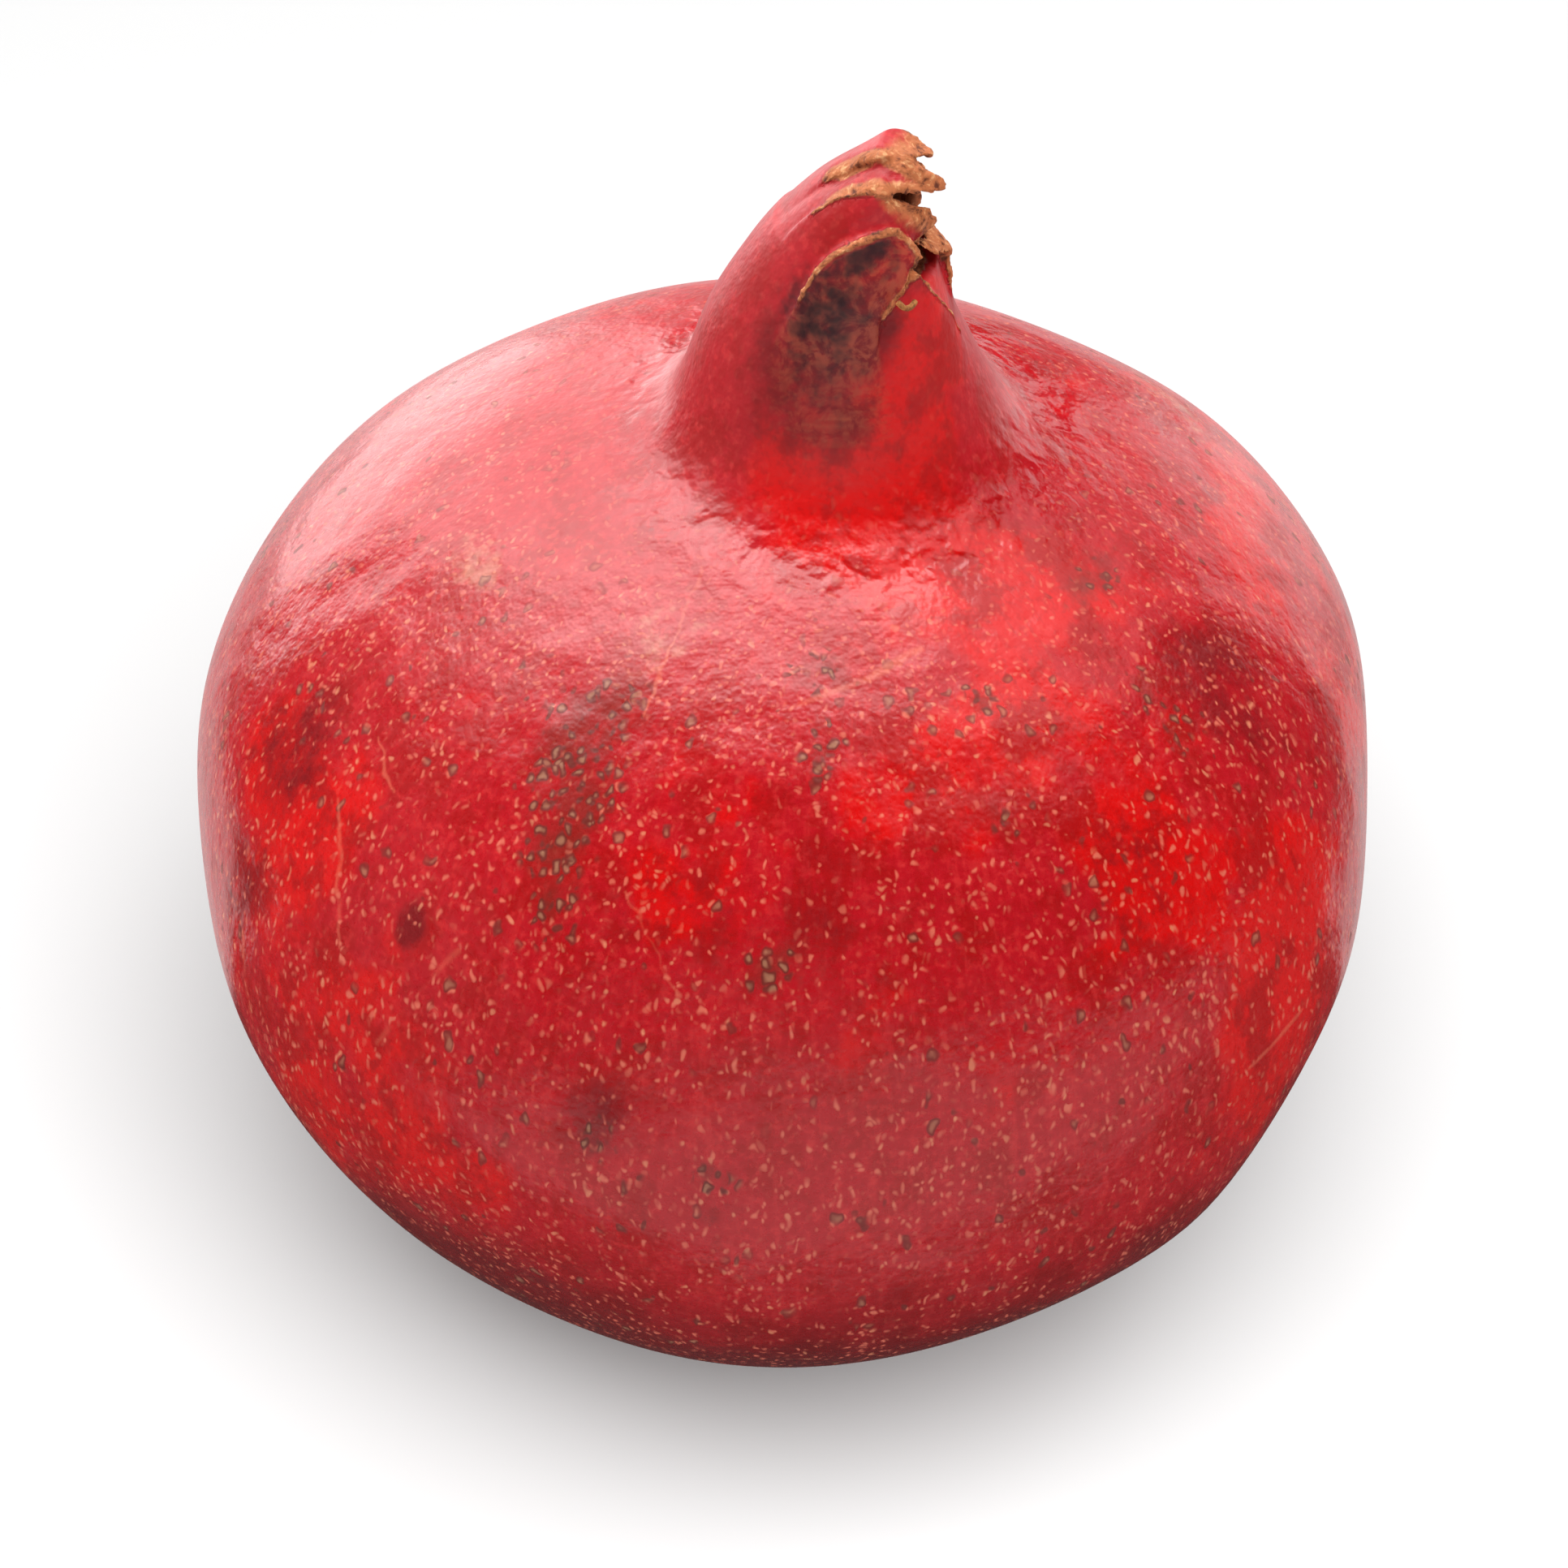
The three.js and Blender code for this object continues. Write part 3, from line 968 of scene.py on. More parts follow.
    def _crinkle(self, crown: bpy.types.Object) -> None:
        """Crinkles the dried parts of the crown."""
        dry = np.zeros(len(crown.data.vertices))
        crown.data.attributes["dry"].data.foreach_get("value", dry)
        group = crown.vertex_groups.new(name="dry")
        for level in range(1, self.dry_steps + 1):
            some = np.nonzero(np.round(dry * self.dry_steps) == level)[0]
            group.add(some.tolist(), level / self.dry_steps, "REPLACE")
        for size, depth in self.crinkles:
            texture = bpy.data.textures.new("crinkle", "CLOUDS")
            texture.noise_scale = size * MM
            texture.noise_depth = 2
            modify(
                crown,
                "DISPLACE",
                texture=texture,
                texture_coords="LOCAL",
                strength=depth * MM,
                mid_level=0.5,
                vertex_group="dry",
            )
        crown.vertex_groups.clear()

    def _bridge(self, rind: bpy.types.Object) -> None:
        """Joins the crown to the body across the seam and smooths the join."""
        take(rind)
        bpy.ops.object.mode_set(mode="EDIT")
        bpy.ops.mesh.select_mode(type="EDGE")
        bpy.ops.mesh.select_all(action="DESELECT")
        bpy.ops.object.mode_set(mode="OBJECT")
        mesh = bmesh.new()
        mesh.from_mesh(rind.data)
        for edge in mesh.edges:
            edge.select_set(edge.is_boundary)
        mesh.to_mesh(rind.data)
        mesh.free()
        bpy.ops.object.mode_set(mode="EDIT")
        bpy.ops.mesh.bridge_edge_loops()
        bpy.ops.mesh.select_mode(type="VERT")
        bpy.ops.mesh.select_all(action="DESELECT")
        bpy.ops.object.mode_set(mode="OBJECT")
        places = places_of(rind)
        near = np.abs(places[:, 2] / MM - self.seam_height) < 1.2
        rind.data.vertices.foreach_set("select", near)
        bpy.ops.object.mode_set(mode="EDIT")
        bpy.ops.mesh.vertices_smooth(factor=0.5, repeat=6)
        bpy.ops.object.mode_set(mode="OBJECT")

    def _paint(self, rind: bpy.types.Object) -> None:
        """Writes how strongly each patch's mark shows at each vertex."""
        places, (_, marks) = places_of(rind) / MM, self._marks_of(rind)
        for mark in Mark:
            shown = np.zeros(len(places))
            for patch in self.patches:
                if patch.mark is mark:
                    shown = np.maximum(shown, self._patch(places, patch))
            for patch in self.neck_patches:
                if patch.mark is mark:
                    shown = np.maximum(shown, self._neck_patch(places, patch))
            if mark is Mark.SCORCH:
                band = smooth(marks["rim"], 0.3, 0.7) * smooth(marks["rim"], 3.4, 1.4)
                high = smooth(places[:, 2], 91.8, 93.6)
                left = smooth(places[:, 0], 9.5, 5.5)
                shown = np.maximum(shown, band * high * left * marks["flap"])
            write_marks(rind, mark.value, shown)

    def _neck_patch(self, places: Numbers, patch: NeckPatch) -> Numbers:
        """How strongly one patch of the neck shows at places on the skin."""
        neck = self.form.neck
        share = np.array([patch.share])
        middle = neck.at(share, np.radians([patch.turn]), neck.radius(share))[0]
        away = length_of(places - middle - [0, 0, self.form.body.centre_height])[:, 0]
        return patch.strength * smooth(away, patch.wide * 1.5, patch.wide * 0.4)

    def _patch(self, places: Numbers, patch: Patch) -> Numbers:
        """How strongly one patch shows at places on the skin.

        Args:
            places: The places, in millimetres.
            patch: The patch.

        Returns:
            Numbers from 0, away from it, to its strength at its middle.
        """
        middle = self.form.place(patch.round, patch.up)
        turn, lean = math.radians(patch.round), math.radians(patch.lean)
        out = middle - [0, 0, self.form.body.centre_height]
        out = out / np.linalg.norm(out)
        across = np.array([-math.sin(turn), math.cos(turn), 0.0])
        along = np.cross(out, across)
        away = places - middle
        x, y = away @ across, away @ along
        x, y = x * math.cos(lean) - y * math.sin(lean), x * math.sin(lean) + y * math.cos(lean)
        near = (away @ out) > -20
        distance = np.sqrt((x / patch.wide) ** 2 + (y / patch.high) ** 2)
        return np.where(near, patch.strength * smooth(distance, 1.6, 0.3), 0.0)


# ---------------------------------------------------------------------------------------------------
# The stem and the stamens
# ---------------------------------------------------------------------------------------------------


@dataclass
class Stem:
    """The corky stump of the stem, cut short in its dimple under the fruit."""

    place: tuple[float, float] = (-7.6, 1.2)
    radius: float = 2.3
    low: float = 0.7
    high: float = 3.4
    bark: float = 0.5
    bark_lip: float = 0.2
    bark_step: float = 0.15
    pith_radius: float = 0.5
    pith_edge: float = 0.12
    pith_depth: float = 0.5
    grain: float = 0.9
    grain_depth: float = 0.35

    def build(self) -> bpy.types.Object:
        """Makes the stump, with a ring of bark and a sunk pith on its cut face."""
        deselect()
        bpy.ops.mesh.primitive_cylinder_add(
            vertices=48,
            radius=self.radius * MM,
            depth=(self.high - self.low) * MM,
            location=(self.place[0] * MM, self.place[1] * MM, (self.low + self.high) / 2 * MM),
        )
        stem = added("stem")
        take(stem)
        bpy.ops.object.transform_apply(location=True, rotation=True, scale=True)
        self._select_cut(stem)
        bpy.ops.object.mode_set(mode="EDIT")
        wood = self.radius - self.bark - self.bark_lip - self.pith_radius
        for thickness, depth in (
            (self.bark, 0.0),
            (self.bark_lip, -self.bark_step),
            (wood, 0.0),
            (self.pith_edge, -self.pith_depth),
        ):
            bpy.ops.mesh.inset(thickness=thickness * MM, depth=depth * MM)
        bpy.ops.object.mode_set(mode="OBJECT")
        modify(stem, "BEVEL", width=self.pith_edge * MM, segments=2, limit_method="ANGLE")
        modify(stem, "SUBSURF", levels=1, render_levels=1, subdivision_type="SIMPLE")
        texture = bpy.data.textures.new("bark", "CLOUDS")
        texture.noise_scale = self.grain * MM
        strength = self.grain_depth * MM
        modify(stem, "DISPLACE", texture=texture, texture_coords="LOCAL", strength=strength, mid_level=0.5)
        bpy.ops.object.shade_smooth()
        return stem

    def _select_cut(self, stem: bpy.types.Object) -> None:
        """Selects the stump's cut face, which looks down."""
        bpy.ops.object.mode_set(mode="EDIT")
        bpy.ops.mesh.select_mode(type="FACE")
        bpy.ops.mesh.select_all(action="DESELECT")
        bpy.ops.object.mode_set(mode="OBJECT")
        for face in stem.data.polygons:
            face.select = face.normal.z < -0.9


@dataclass
class Stamens:
    """The dried stamens in the hollow of the crown, and one that has come loose on the front leaf.

    Places along the neck are shares of its middle line, angles are round it, and reaches are distances
    from its middle line.
    """

    form: FruitForm
    count: int = 34
    thickness: float = 0.2
    root: tuple[float, float] = (0.38, 3.4)
    top: tuple[float, float] = (0.66, 0.9)
    swing: float = 35.0
    anther: float = 2.2
    loose: tuple[Point, ...] = (
        (0.645, 291.0, 8.0),
        (0.632, 294.0, 8.3),
        (0.622, 297.0, 8.2),
        (0.622, 301.0, 8.0),
        (0.63, 304.0, 7.7),
    )
    seed: int = 21

    def build(self) -> bpy.types.Object:
        """Makes every stamen as one piece."""
        random = np.random.default_rng(self.seed)
        threads = [self._thread(self._course(random, index)) for index in range(self.count)]
        threads.append(self._thread(self._points(np.array(self.loose)), width=1.1, end=1.0))
        stamens = joined(threads)
        stamens.name = stamens.data.name = "stamens"
        take(stamens)
        bpy.ops.object.shade_smooth()
        return stamens

    def _course(self, random: np.random.Generator, index: int) -> Numbers:
        """The points of one stamen, from its root on the hollow's wall to its anther."""
        turn = 360 * index / self.count + random.uniform(-5, 5)
        swing = random.uniform(-self.swing, self.swing)
        share = np.linspace(0, 1, 5)
        length = random.uniform(0.5, 1.0)
        course = np.stack(
            [
                lerp(self.root[0], self.top[0], share * length),
                turn + swing * share**2,
                lerp(self.root[1], self.top[1], smooth(share * length, 0.1, 1.0)),
            ],
            axis=1,
        )
        course[1:, 2] += random.uniform(-0.4, 0.6, 4)
        return self._points(course)

    def _points(self, course: Numbers) -> Numbers:
        """The places of a course given by share, angle and reach."""
        points = self.form.neck.at(course[:, 0], np.radians(course[:, 1]), course[:, 2])
        return points + [0, 0, self.form.body.centre_height]

    def _thread(self, points: Numbers, width: float = 1.0, end: float | None = None) -> bpy.types.Object:
        """A thin round thread through points.

        Args:
            points: The points, five of them.
            width: Its width, as a share of the usual.
            end: How thick its end is, as a share of the rest, or nothing for an anther.

        Returns:
            The thread.
        """
        deselect()
        bpy.ops.curve.primitive_nurbs_path_add()
        thread = added("stamen")
        spline = thread.data.splines[0]
        spline.order_u = 3
        for point, place in zip(spline.points, points):
            point.co = (*(place * MM), 1.0)
        spline.points[-1].radius = end or self.anther
        thread.data.bevel_depth = self.thickness * width * MM
        thread.data.bevel_resolution = 1
        thread.data.resolution_u = 4
        thread.data.use_fill_caps = True
        bpy.ops.object.convert(target="MESH")
        return thread


# ---------------------------------------------------------------------------------------------------
# The finishes
# ---------------------------------------------------------------------------------------------------


class Value:
    """A number or a link in a material, on which plain arithmetic adds Math nodes."""

    def __init__(self, shader: "Shader", link: bpy.types.NodeSocket) -> None:
        """Wraps a link of a material."""
        self.shader = shader
        self.link = link

    def __add__(self, other: "Value | float") -> "Value":
        """The sum."""
        return self.shader.math("ADD", self, other)

    def __sub__(self, other: "Value | float") -> "Value":
        """The difference."""
        return self.shader.math("SUBTRACT", self, other)

    def __rsub__(self, other: float) -> "Value":
        """The difference from a number."""
        return self.shader.math("SUBTRACT", other, self)

    def __mul__(self, other: "Value | float") -> "Value":
        """The product."""
        return self.shader.math("MULTIPLY", self, other)

    def __truediv__(self, other: "Value | float") -> "Value":
        """The quotient."""
        return self.shader.math("DIVIDE", self, other)

    __radd__ = __add__
    __rmul__ = __mul__


Input = Value | float | Sequence[float]


class Shader:
    """A material under construction."""

    def __init__(self, name: str) -> None:
        """Starts a material that holds nothing but its output."""
        self.material = bpy.data.materials.new(name)
        self.material.use_nodes = True
        self.tree = self.material.node_tree
        self.tree.nodes.clear()
        self.output = self.tree.nodes.new("ShaderNodeOutputMaterial")

    def node(self, kind: str, settings: dict[str, object] | None = None, **sockets: Input) -> bpy.types.Node:
        """Adds one node.

        Args:
            kind: Its type, without the leading ShaderNode.
            settings: Its settings, set before its sockets.
            sockets: Values or links of its sockets, by name with _ for a space, or by number as _0.

        Returns:
            The node.
        """
        node = self.tree.nodes.new(f"ShaderNode{kind}")
        for name, value in (settings or {}).items():
            setattr(node, name, value)
        for name, value in sockets.items():
            socket = node.inputs[int(name[1:])] if name[1:].isdigit() else node.inputs[name.replace("_", " ")]
            self.put(socket, value)
        return node

    def put(self, socket: bpy.types.NodeSocket, value: Input) -> None:
        """Links a value to a socket, or sets the socket to a number or colour."""
        if isinstance(value, Value):
            self.tree.links.new(value.link, socket)
        elif isinstance(value, (int, float)):
            socket.default_value = value
        else:
            socket.default_value = tuple(value)

    def math(self, operation: str, *values: Value | float) -> Value:
        """One Math node's result."""
        node = self.node("Math", {"operation": operation}, **{f"_{i}": v for i, v in enumerate(values)})
        return Value(self, node.outputs[0])

    def vector(self, operation: str, *values: Input, out: str = "Vector", **sockets: Input) -> Value:
        """One Vector Math node's result."""
        links = {f"_{i}": v for i, v in enumerate(values)} | sockets
        node = self.node("VectorMath", {"operation": operation}, **links)
        return Value(self, node.outputs[out])

    def step(self, value: Value, low: float, high: float, start: float = 0.0, end: float = 1.0) -> Value:
        """A soft step from start, where value is low, to end, where it is high."""
        kind = {"interpolation_type": "SMOOTHSTEP"}
        node = self.node("MapRange", kind, _0=value, _1=low, _2=high, _3=start, _4=end)
        return Value(self, node.outputs[0])

    def mix(self, factor: Value | float, first: Input, second: Input) -> Value:
        """A mix of two colours.

        Args:
            factor: The share of the second.
            first: The colour at 0.
            second: The colour at 1.

        Returns:
            The mixed colour.
        """
        node = self.node("Mix", {"data_type": "RGBA", "clamp_factor": True})
        for name, value in (("Factor_Float", factor), ("A_Color", first), ("B_Color", second)):
            socket = next(s for s in node.inputs if s.identifier == name)
            self.put(socket, (*value, 1.0) if isinstance(value, tuple) and len(value) == 3 else value)
        return Value(self, next(s for s in node.outputs if s.identifier == "Result_Color"))

    def noise(self, vector: Value, size: float, detail: float = 2.0, roughness: float = 0.5) -> Value:
        """Soft noise from 0 to 1, whose features are about size millimetres across."""
        sockets = {"Vector": vector, "Scale": 1 / size, "Detail": detail, "Roughness": roughness}
        return Value(self, self.node("TexNoise", None, **sockets).outputs["Fac"])

    def shaken(self, vector: Value, size: float, reach: float) -> Value:
        """Places pushed about by noise of a size, by up to half a reach, so that shapes come out ragged."""
        node = self.node("TexNoise", None, Vector=vector, Scale=1 / size, Detail=0.0)
        push = self.vector("SUBTRACT", Value(self, node.outputs["Color"]), (0.5, 0.5, 0.5))
        return self.vector("ADD", vector, self.vector("SCALE", push, Scale=reach))

    def cells(self, vector: Value, size: float) -> tuple[Value, Value]:
        """Scattered points, size millimetres apart.

        Returns:
            The distance to the nearest point, in millimetres, and a random number for each point.
        """
        node = self.node("TexVoronoi", None, Vector=vector, Scale=1 / size)
        parts = self.node("SeparateColor", None, _0=Value(self, node.outputs["Color"]))
        return Value(self, node.outputs["Distance"]) * size, Value(self, parts.outputs[0])

    def attribute(self, name: str) -> Value:
        """A mark of the mesh."""
        return Value(self, self.node("Attribute", {"attribute_name": name}).outputs["Fac"])

    def place(self) -> Value:
        """The place on the piece, in millimetres."""
        own = Value(self, self.node("TexCoord").outputs["Object"])
        return self.vector("SCALE", own, Scale=1 / MM)

    def bump(self, height: Value, depth: float) -> Value:
        """A normal bumped by a height from 0 to 1, which stands for depth millimetres."""
        node = self.node("Bump", None, Strength=1.0, Distance=depth * MM, Height=height)
        return Value(self, node.outputs["Normal"])

    def finish(self, **sockets: Input) -> bpy.types.Material:
        """Ends the material in a Principled shader with these sockets."""
        surface = self.node("BsdfPrincipled", None, **sockets)
        self.tree.links.new(surface.outputs[0], self.output.inputs["Surface"])
        return self.material


Colour = tuple[float, float, float]


def paint(red: int, green: int, blue: int) -> Colour:
    """A colour from its screen values, 0 to 255."""

    def linear(value: int) -> float:
        share = value / 255
        return share / 12.92 if share <= 0.04045 else ((share + 0.055) / 1.055) ** 2.4

    return linear(red), linear(green), linear(blue)


@dataclass(frozen=True)
class Scratch:
    """A fine healed scratch between two places on the body, each an angle round and an angle up."""

    start: tuple[float, float]
    end: tuple[float, float]
    width: float = 0.22
    strength: float = 0.6


SCRATCHES = (
    Scratch((248, 49), (248, 57), 0.2, 0.7),
    Scratch((248, 57), (248, 66), 0.2, 0.4),
    Scratch((271, 52), (282, 54), 0.3, 0.45),
    Scratch((282, 54), (293, 56), 0.4, 0.6),
    Scratch((215, 35), (221, 32), 0.2, 0.6),
    Scratch((215, 28), (219, 24), 0.25, 0.5),
    Scratch((219, 24), (223, 17), 0.25, 0.5),
    Scratch((252, 33), (259, 25), 0.2, 0.5),
    Scratch((230, 11), (236, 23), 0.35, 0.35),
    Scratch((209, 9), (212, -3), 0.4, 0.6),
    Scratch((315, 5), (323, 6), 0.3, 0.6),
    Scratch((6, 42), (356, 29), 0.25, 0.4),
)


@dataclass(frozen=True)
class SkinFinish:
    """Fresh glossy rind with lenticels, russet, bruises and scratches, dried brown on the crown, with painted
    shade towards the bottom and in the crown's hollow.
    """

    bright: Colour = paint(212, 3, 2)
    deep: Colour = paint(164, 7, 8)
    crimson: Colour = paint(182, 12, 26)
    rose: Colour = paint(210, 44, 44)
    maroon: Colour = paint(118, 12, 18)
    # Painted shade: the dark maroon that the bottom of the rind is painted towards, standing in for the shade
    # under the fruit.
    base: Colour = paint(104, 10, 14)
    speck: Colour = paint(224, 112, 88)
    pale_speck: Colour = paint(228, 140, 104)
    dot_rim: Colour = paint(104, 34, 24)
    dot_heart: Colour = paint(158, 108, 80)
    russet: Colour = paint(112, 40, 30)
    wash: Colour = paint(196, 130, 100)
    scratch: Colour = paint(226, 112, 84)
    dry: Colour = paint(190, 108, 64)
    dry_pale: Colour = paint(232, 168, 116)
    # Dark brown of dried leaves, also used as painted shade on the inner faces of the leaves and in the
    # hollow.
    dry_dark_and_painted_shade: Colour = paint(100, 46, 26)
    scorch: Colour = paint(34, 24, 28)
    leather: Colour = paint(170, 74, 48)
    scratches: tuple[Scratch, ...] = SCRATCHES
    neck_heights: tuple[float, float] = (68, 79)
    flare_heights: tuple[float, float, float, float] = (55, 62, 74, 80)
    # Heights between which the painted shade at the bottom fades in, and how ragged its upper edge is.
    painted_shade_heights: tuple[float, float] = (37, 20)
    painted_shade_raggedness: float = 14
    ripple_depth: float = 0.6
    swell_depth: float = 0.7
    wrinkle_depth: float = 0.6
    peel_depth: float = 0.08
    grain_depth: float = 0.05
    roughness: float = 0.23
    flare_gloss: float = 0.17

    def make(self, form: FruitForm) -> bpy.types.Material:
        """Makes the material.

        Args:
            form: The fruit's form, which says where the scratches lie.

        Returns:
            The material.
        """
        s = Shader("pomegranate_rind")
        place = s.place()
        dry = s.attribute("dry")
        high = Value(s, s.node("SeparateXYZ", None, _0=place).outputs[2])
        neck = s.step(high, *self.neck_heights, 0, 0.92)
        flare = self._flare_share(s, place, high, form)
        colour = self._ground(s, place, high, form)
        # Painted shade: below about 37 mm the rind is painted darker, up to nine tenths of the way to dark
        # maroon by 20 mm, with a ragged edge; it stands in for the shade under the fruit, not a colour of the
        # skin.
        low = high + (s.noise(place, 7.0, 2.0, 0.6) - 0.5) * self.painted_shade_raggedness
        colour = s.mix(s.step(low, *self.painted_shade_heights) * 0.9, colour, self.base)
        colour, spots = self._spots(s, place, colour, (1 - dry) * (1 - neck) * (1 - flare * 0.4))
        colour = self._scratched(s, place, colour, form)
        colour = self._dried(s, place, colour, dry)
        grain = s.noise(place, 0.55, 1.0, 0.6)
        peel = s.noise(place, 1.5, 1.0)
        wrinkle = s.noise(s.vector("MULTIPLY", place, (1.0, 1.0, 0.4)), 1.0, 2.0, 0.6)
        pushed = s.shaken(place, 3.0, 2.0)
        ripple = s.noise(pushed, 2.8, 2.0, 0.45)
        swell = s.noise(pushed, 8.0, 1.0) * (1 - neck)
        height = ripple * flare * self.ripple_depth + swell * self.swell_depth
        height = height + peel * self.peel_depth + grain * self.grain_depth
        height = height + wrinkle * dry * self.wrinkle_depth
        rough = self.roughness - flare * self.flare_gloss + grain * 0.1
        rough = rough + spots * 0.15 + dry * 0.4 + neck * 0.22
        return s.finish(
            Base_Color=colour,
            Roughness=rough,
            Normal=s.bump(height, 1.0),
            Specular_IOR_Level=0.5,
        )

    def _flare_share(self, s: Shader, place: Value, high: Value, form: FruitForm) -> Value:
        """How far a place belongs to the glossy flare round the neck's foot, from 0 to 1."""
        centre = (form.flare_centre, 0.0, 0.0)
        flat = s.vector("MULTIPLY", s.vector("SUBTRACT", place, centre), (1.0, 1.0, 0.0))
        reach = s.vector("LENGTH", flat, out="Value")
        near = s.step(reach, form.flare_radius + 5, form.flare_radius - 2)
        start, full, fall, end = self.flare_heights
        return near * s.step(high, start, full) * s.step(high, end, fall)

    def _lengthwise(self, s: Shader, place: Value, form: FruitForm, stretch: float) -> Value:
        """Pattern places on which everything comes out longer along the fruit and up its bent neck.

        Args:
            s: The material.
            place: The place on the piece.
            form: The fruit's form.
            stretch: How many times longer.

        Returns:
            The pattern places.
        """
        apart = s.node("SeparateXYZ", None, _0=place)
        x, y, z = (Value(s, apart.outputs[i]) for i in range(3))
        x = x - s.step(z, 56, 82, 0, 2.6) - s.step(z, 84, 103, 0, 8.0)
        flat = Value(s, s.node("CombineXYZ", None, _0=x, _1=y, _2=0.0).outputs[0])
        reach = s.vector("LENGTH", flat, out="Value")
        radius = form.body.equator_radius
        around = s.vector("SCALE", s.vector("NORMALIZE", flat), Scale=radius)
        rise = s.math("ARCTAN2", z - form.body.centre_height, reach) * radius
        along = rise + s.math("MAXIMUM", z - 76, 0.0) * 0.7
        up = Value(s, s.node("CombineXYZ", None, _0=0.0, _1=0.0, _2=along / stretch).outputs[0])
        return s.vector("ADD", around, up)

    def _ground(self, s: Shader, place: Value, high: Value, form: FruitForm) -> Value:
        """The red of the rind: broad drifts, blotches, streaks along the fruit and bruises.

        Args:
            s: The material.
            place: The place on the piece.
            high: Its height above the floor.
            form: The fruit's form.

        Returns:
            The colour.
        """
        flush = s.attribute(Mark.FLUSH.value) + (s.noise(place, 9.0, 3.0, 0.6) - 0.5) * 3.0
        drift = s.step(flush, 0.8, 0.3)
        colour = s.mix(drift, self.bright, self.crimson)
        blotch = s.noise(s.vector("MULTIPLY", place, (1.0, 1.0, 0.8)), 4.5, 4.0, 0.66)
        colour = s.mix(s.step(blotch, 0.48, 0.60) * 0.75, colour, self.deep)
        lined = s.step(high, 77, 68, 0.15, 1)
        streak = (s.noise(self._lengthwise(s, place, form, 5.0), 0.9, 3.0, 0.65) - 0.5) * lined + 0.5
        colour = s.mix(s.step(streak, 0.5, 0.72) * (drift * 0.3 + 0.1), colour, self.rose)
        colour = s.mix(s.step(streak, 0.48, 0.34) * 0.3, colour, self.deep)
        mottle = s.noise(place, 0.7, 2.0, 0.6)
        colour = s.mix(s.step(mottle, 0.5, 0.72) * (drift * 0.4 + 0.1), colour, self.rose)
        colour = s.mix(s.step(mottle, 0.5, 0.30) * 0.35, colour, self.deep)
        bruise = s.attribute(Mark.BRUISE.value)
        ragged = bruise + (blotch - 0.5) * 1.4 + (streak - 0.5) * 0.7 + (mottle - 0.5) * 0.5
        return s.mix(s.step(ragged, 0.2, 1.0) * 0.85, colour, self.maroon)

    def _spots(self, s: Shader, place: Value, colour: Value, fresh: Value) -> tuple[Value, Value]:
        """Lenticels, dots and russet.

        Args:
            s: The material.
            place: The place on the piece.
            colour: The colour of the ground.
            fresh: Where the skin is fresh and spotted.

        Returns:
            The spotted colour, and how rough the spots are, from 0 to 1.
        """
        flat = s.vector("MULTIPLY", place, (1.0, 1.0, 0.6))
        here = s.shaken(flat, 0.8, 0.8)
        patchy = s.noise(place, 6.0, 1.0, 0.6) - 0.5
        away, random = s.cells(here, 0.62)
        fleck = s.step(away, 0.27, 0.07) * s.step(random + patchy * 1.4, 0.05, 0.85)
        colour = s.mix(fleck * fresh * 0.8, colour, self.speck)
        away, random = s.cells(here, 1.3)
        pale = s.step(away, 0.28, 0.1) * s.step(random + patchy * 1.5, 0.4, 0.68)
        colour = s.mix(pale * fresh * 0.62, colour, self.pale_speck)
        wash = s.step(s.attribute(Mark.WASH.value) + (s.noise(place, 1.6, 2.0, 0.65) - 0.5) * 1.8, 0.4, 1.1)
        colour = s.mix(wash * 0.5, colour, self.wash)
        russet = s.attribute(Mark.RUSSET.value)
        haze = s.step(russet + (s.noise(flat, 2.2, 3.0, 0.6) - 0.5) * 1.8, 0.3, 1.1)
        colour = s.mix(haze * 0.55, colour, self.russet)
        away, random = s.cells(here, 0.95)
        crowd = s.step(away, 0.48, 0.3) * s.step(russet + random * 0.5 + patchy * 1.2, 0.6, 0.85)
        tint = s.mix(s.step(away, 0.3, 0.1), self.dot_rim, self.dot_heart)
        colour = s.mix(crowd * 0.85, colour, tint)
        away, random = s.cells(here, 1.7)
        chosen = s.step(random * 0.75 + russet * 0.7 + patchy * 1.6, 0.5, 0.66)
        size = 0.6 + random * 0.45
        dot = s.step(away / size, 0.5, 0.34) * chosen * fresh
        tint = s.mix(s.step(away / size, 0.34, 0.1), self.dot_rim, self.dot_heart)
        colour = s.mix(dot * 0.7, colour, tint)
        return colour, s.math("MAXIMUM", s.math("MAXIMUM", fleck * 0.5, crowd), dot)

    def _scratched(self, s: Shader, place: Value, colour: Value, form: FruitForm) -> Value:
        """The colour with the healed scratches on it."""
        wobble = s.noise(place, 1.6, 1.0) - 0.5
        shift = s.node("CombineXYZ", None, _0=wobble * 1.1, _1=0.0, _2=wobble * 0.6)
        bent = s.vector("ADD", place, Value(s, shift.outputs[0]))
        total: Value | None = None
        for scratch in self.scratches:
            line = self._line(s, bent, form, scratch)
            total = line if total is None else s.math("MAXIMUM", total, line)
        return s.mix(total, colour, self.scratch)

    def _line(self, s: Shader, place: Value, form: FruitForm, scratch: Scratch) -> Value:
        """One scratch, as numbers from 0 to its strength."""
        start = form.place(*scratch.start)
        end = form.place(*scratch.end)
        run = end - start
        away = s.vector("SUBTRACT", place, tuple(start))
        share = s.vector("DOT_PRODUCT", away, tuple(run / float(run @ run)), out="Value")
        held = s.node("Clamp", None, Value=share).outputs[0]
        along = s.vector("SCALE", tuple(run), Scale=Value(s, held))
        gap = s.vector("DISTANCE", away, along, out="Value")
        middle = Value(s, held) - 0.5
        gap = s.math("MULTIPLY_ADD", middle, middle * 0.3, gap)
        return s.step(gap, scratch.width * 1.3, scratch.width * 0.2, 0, scratch.strength * 0.7)

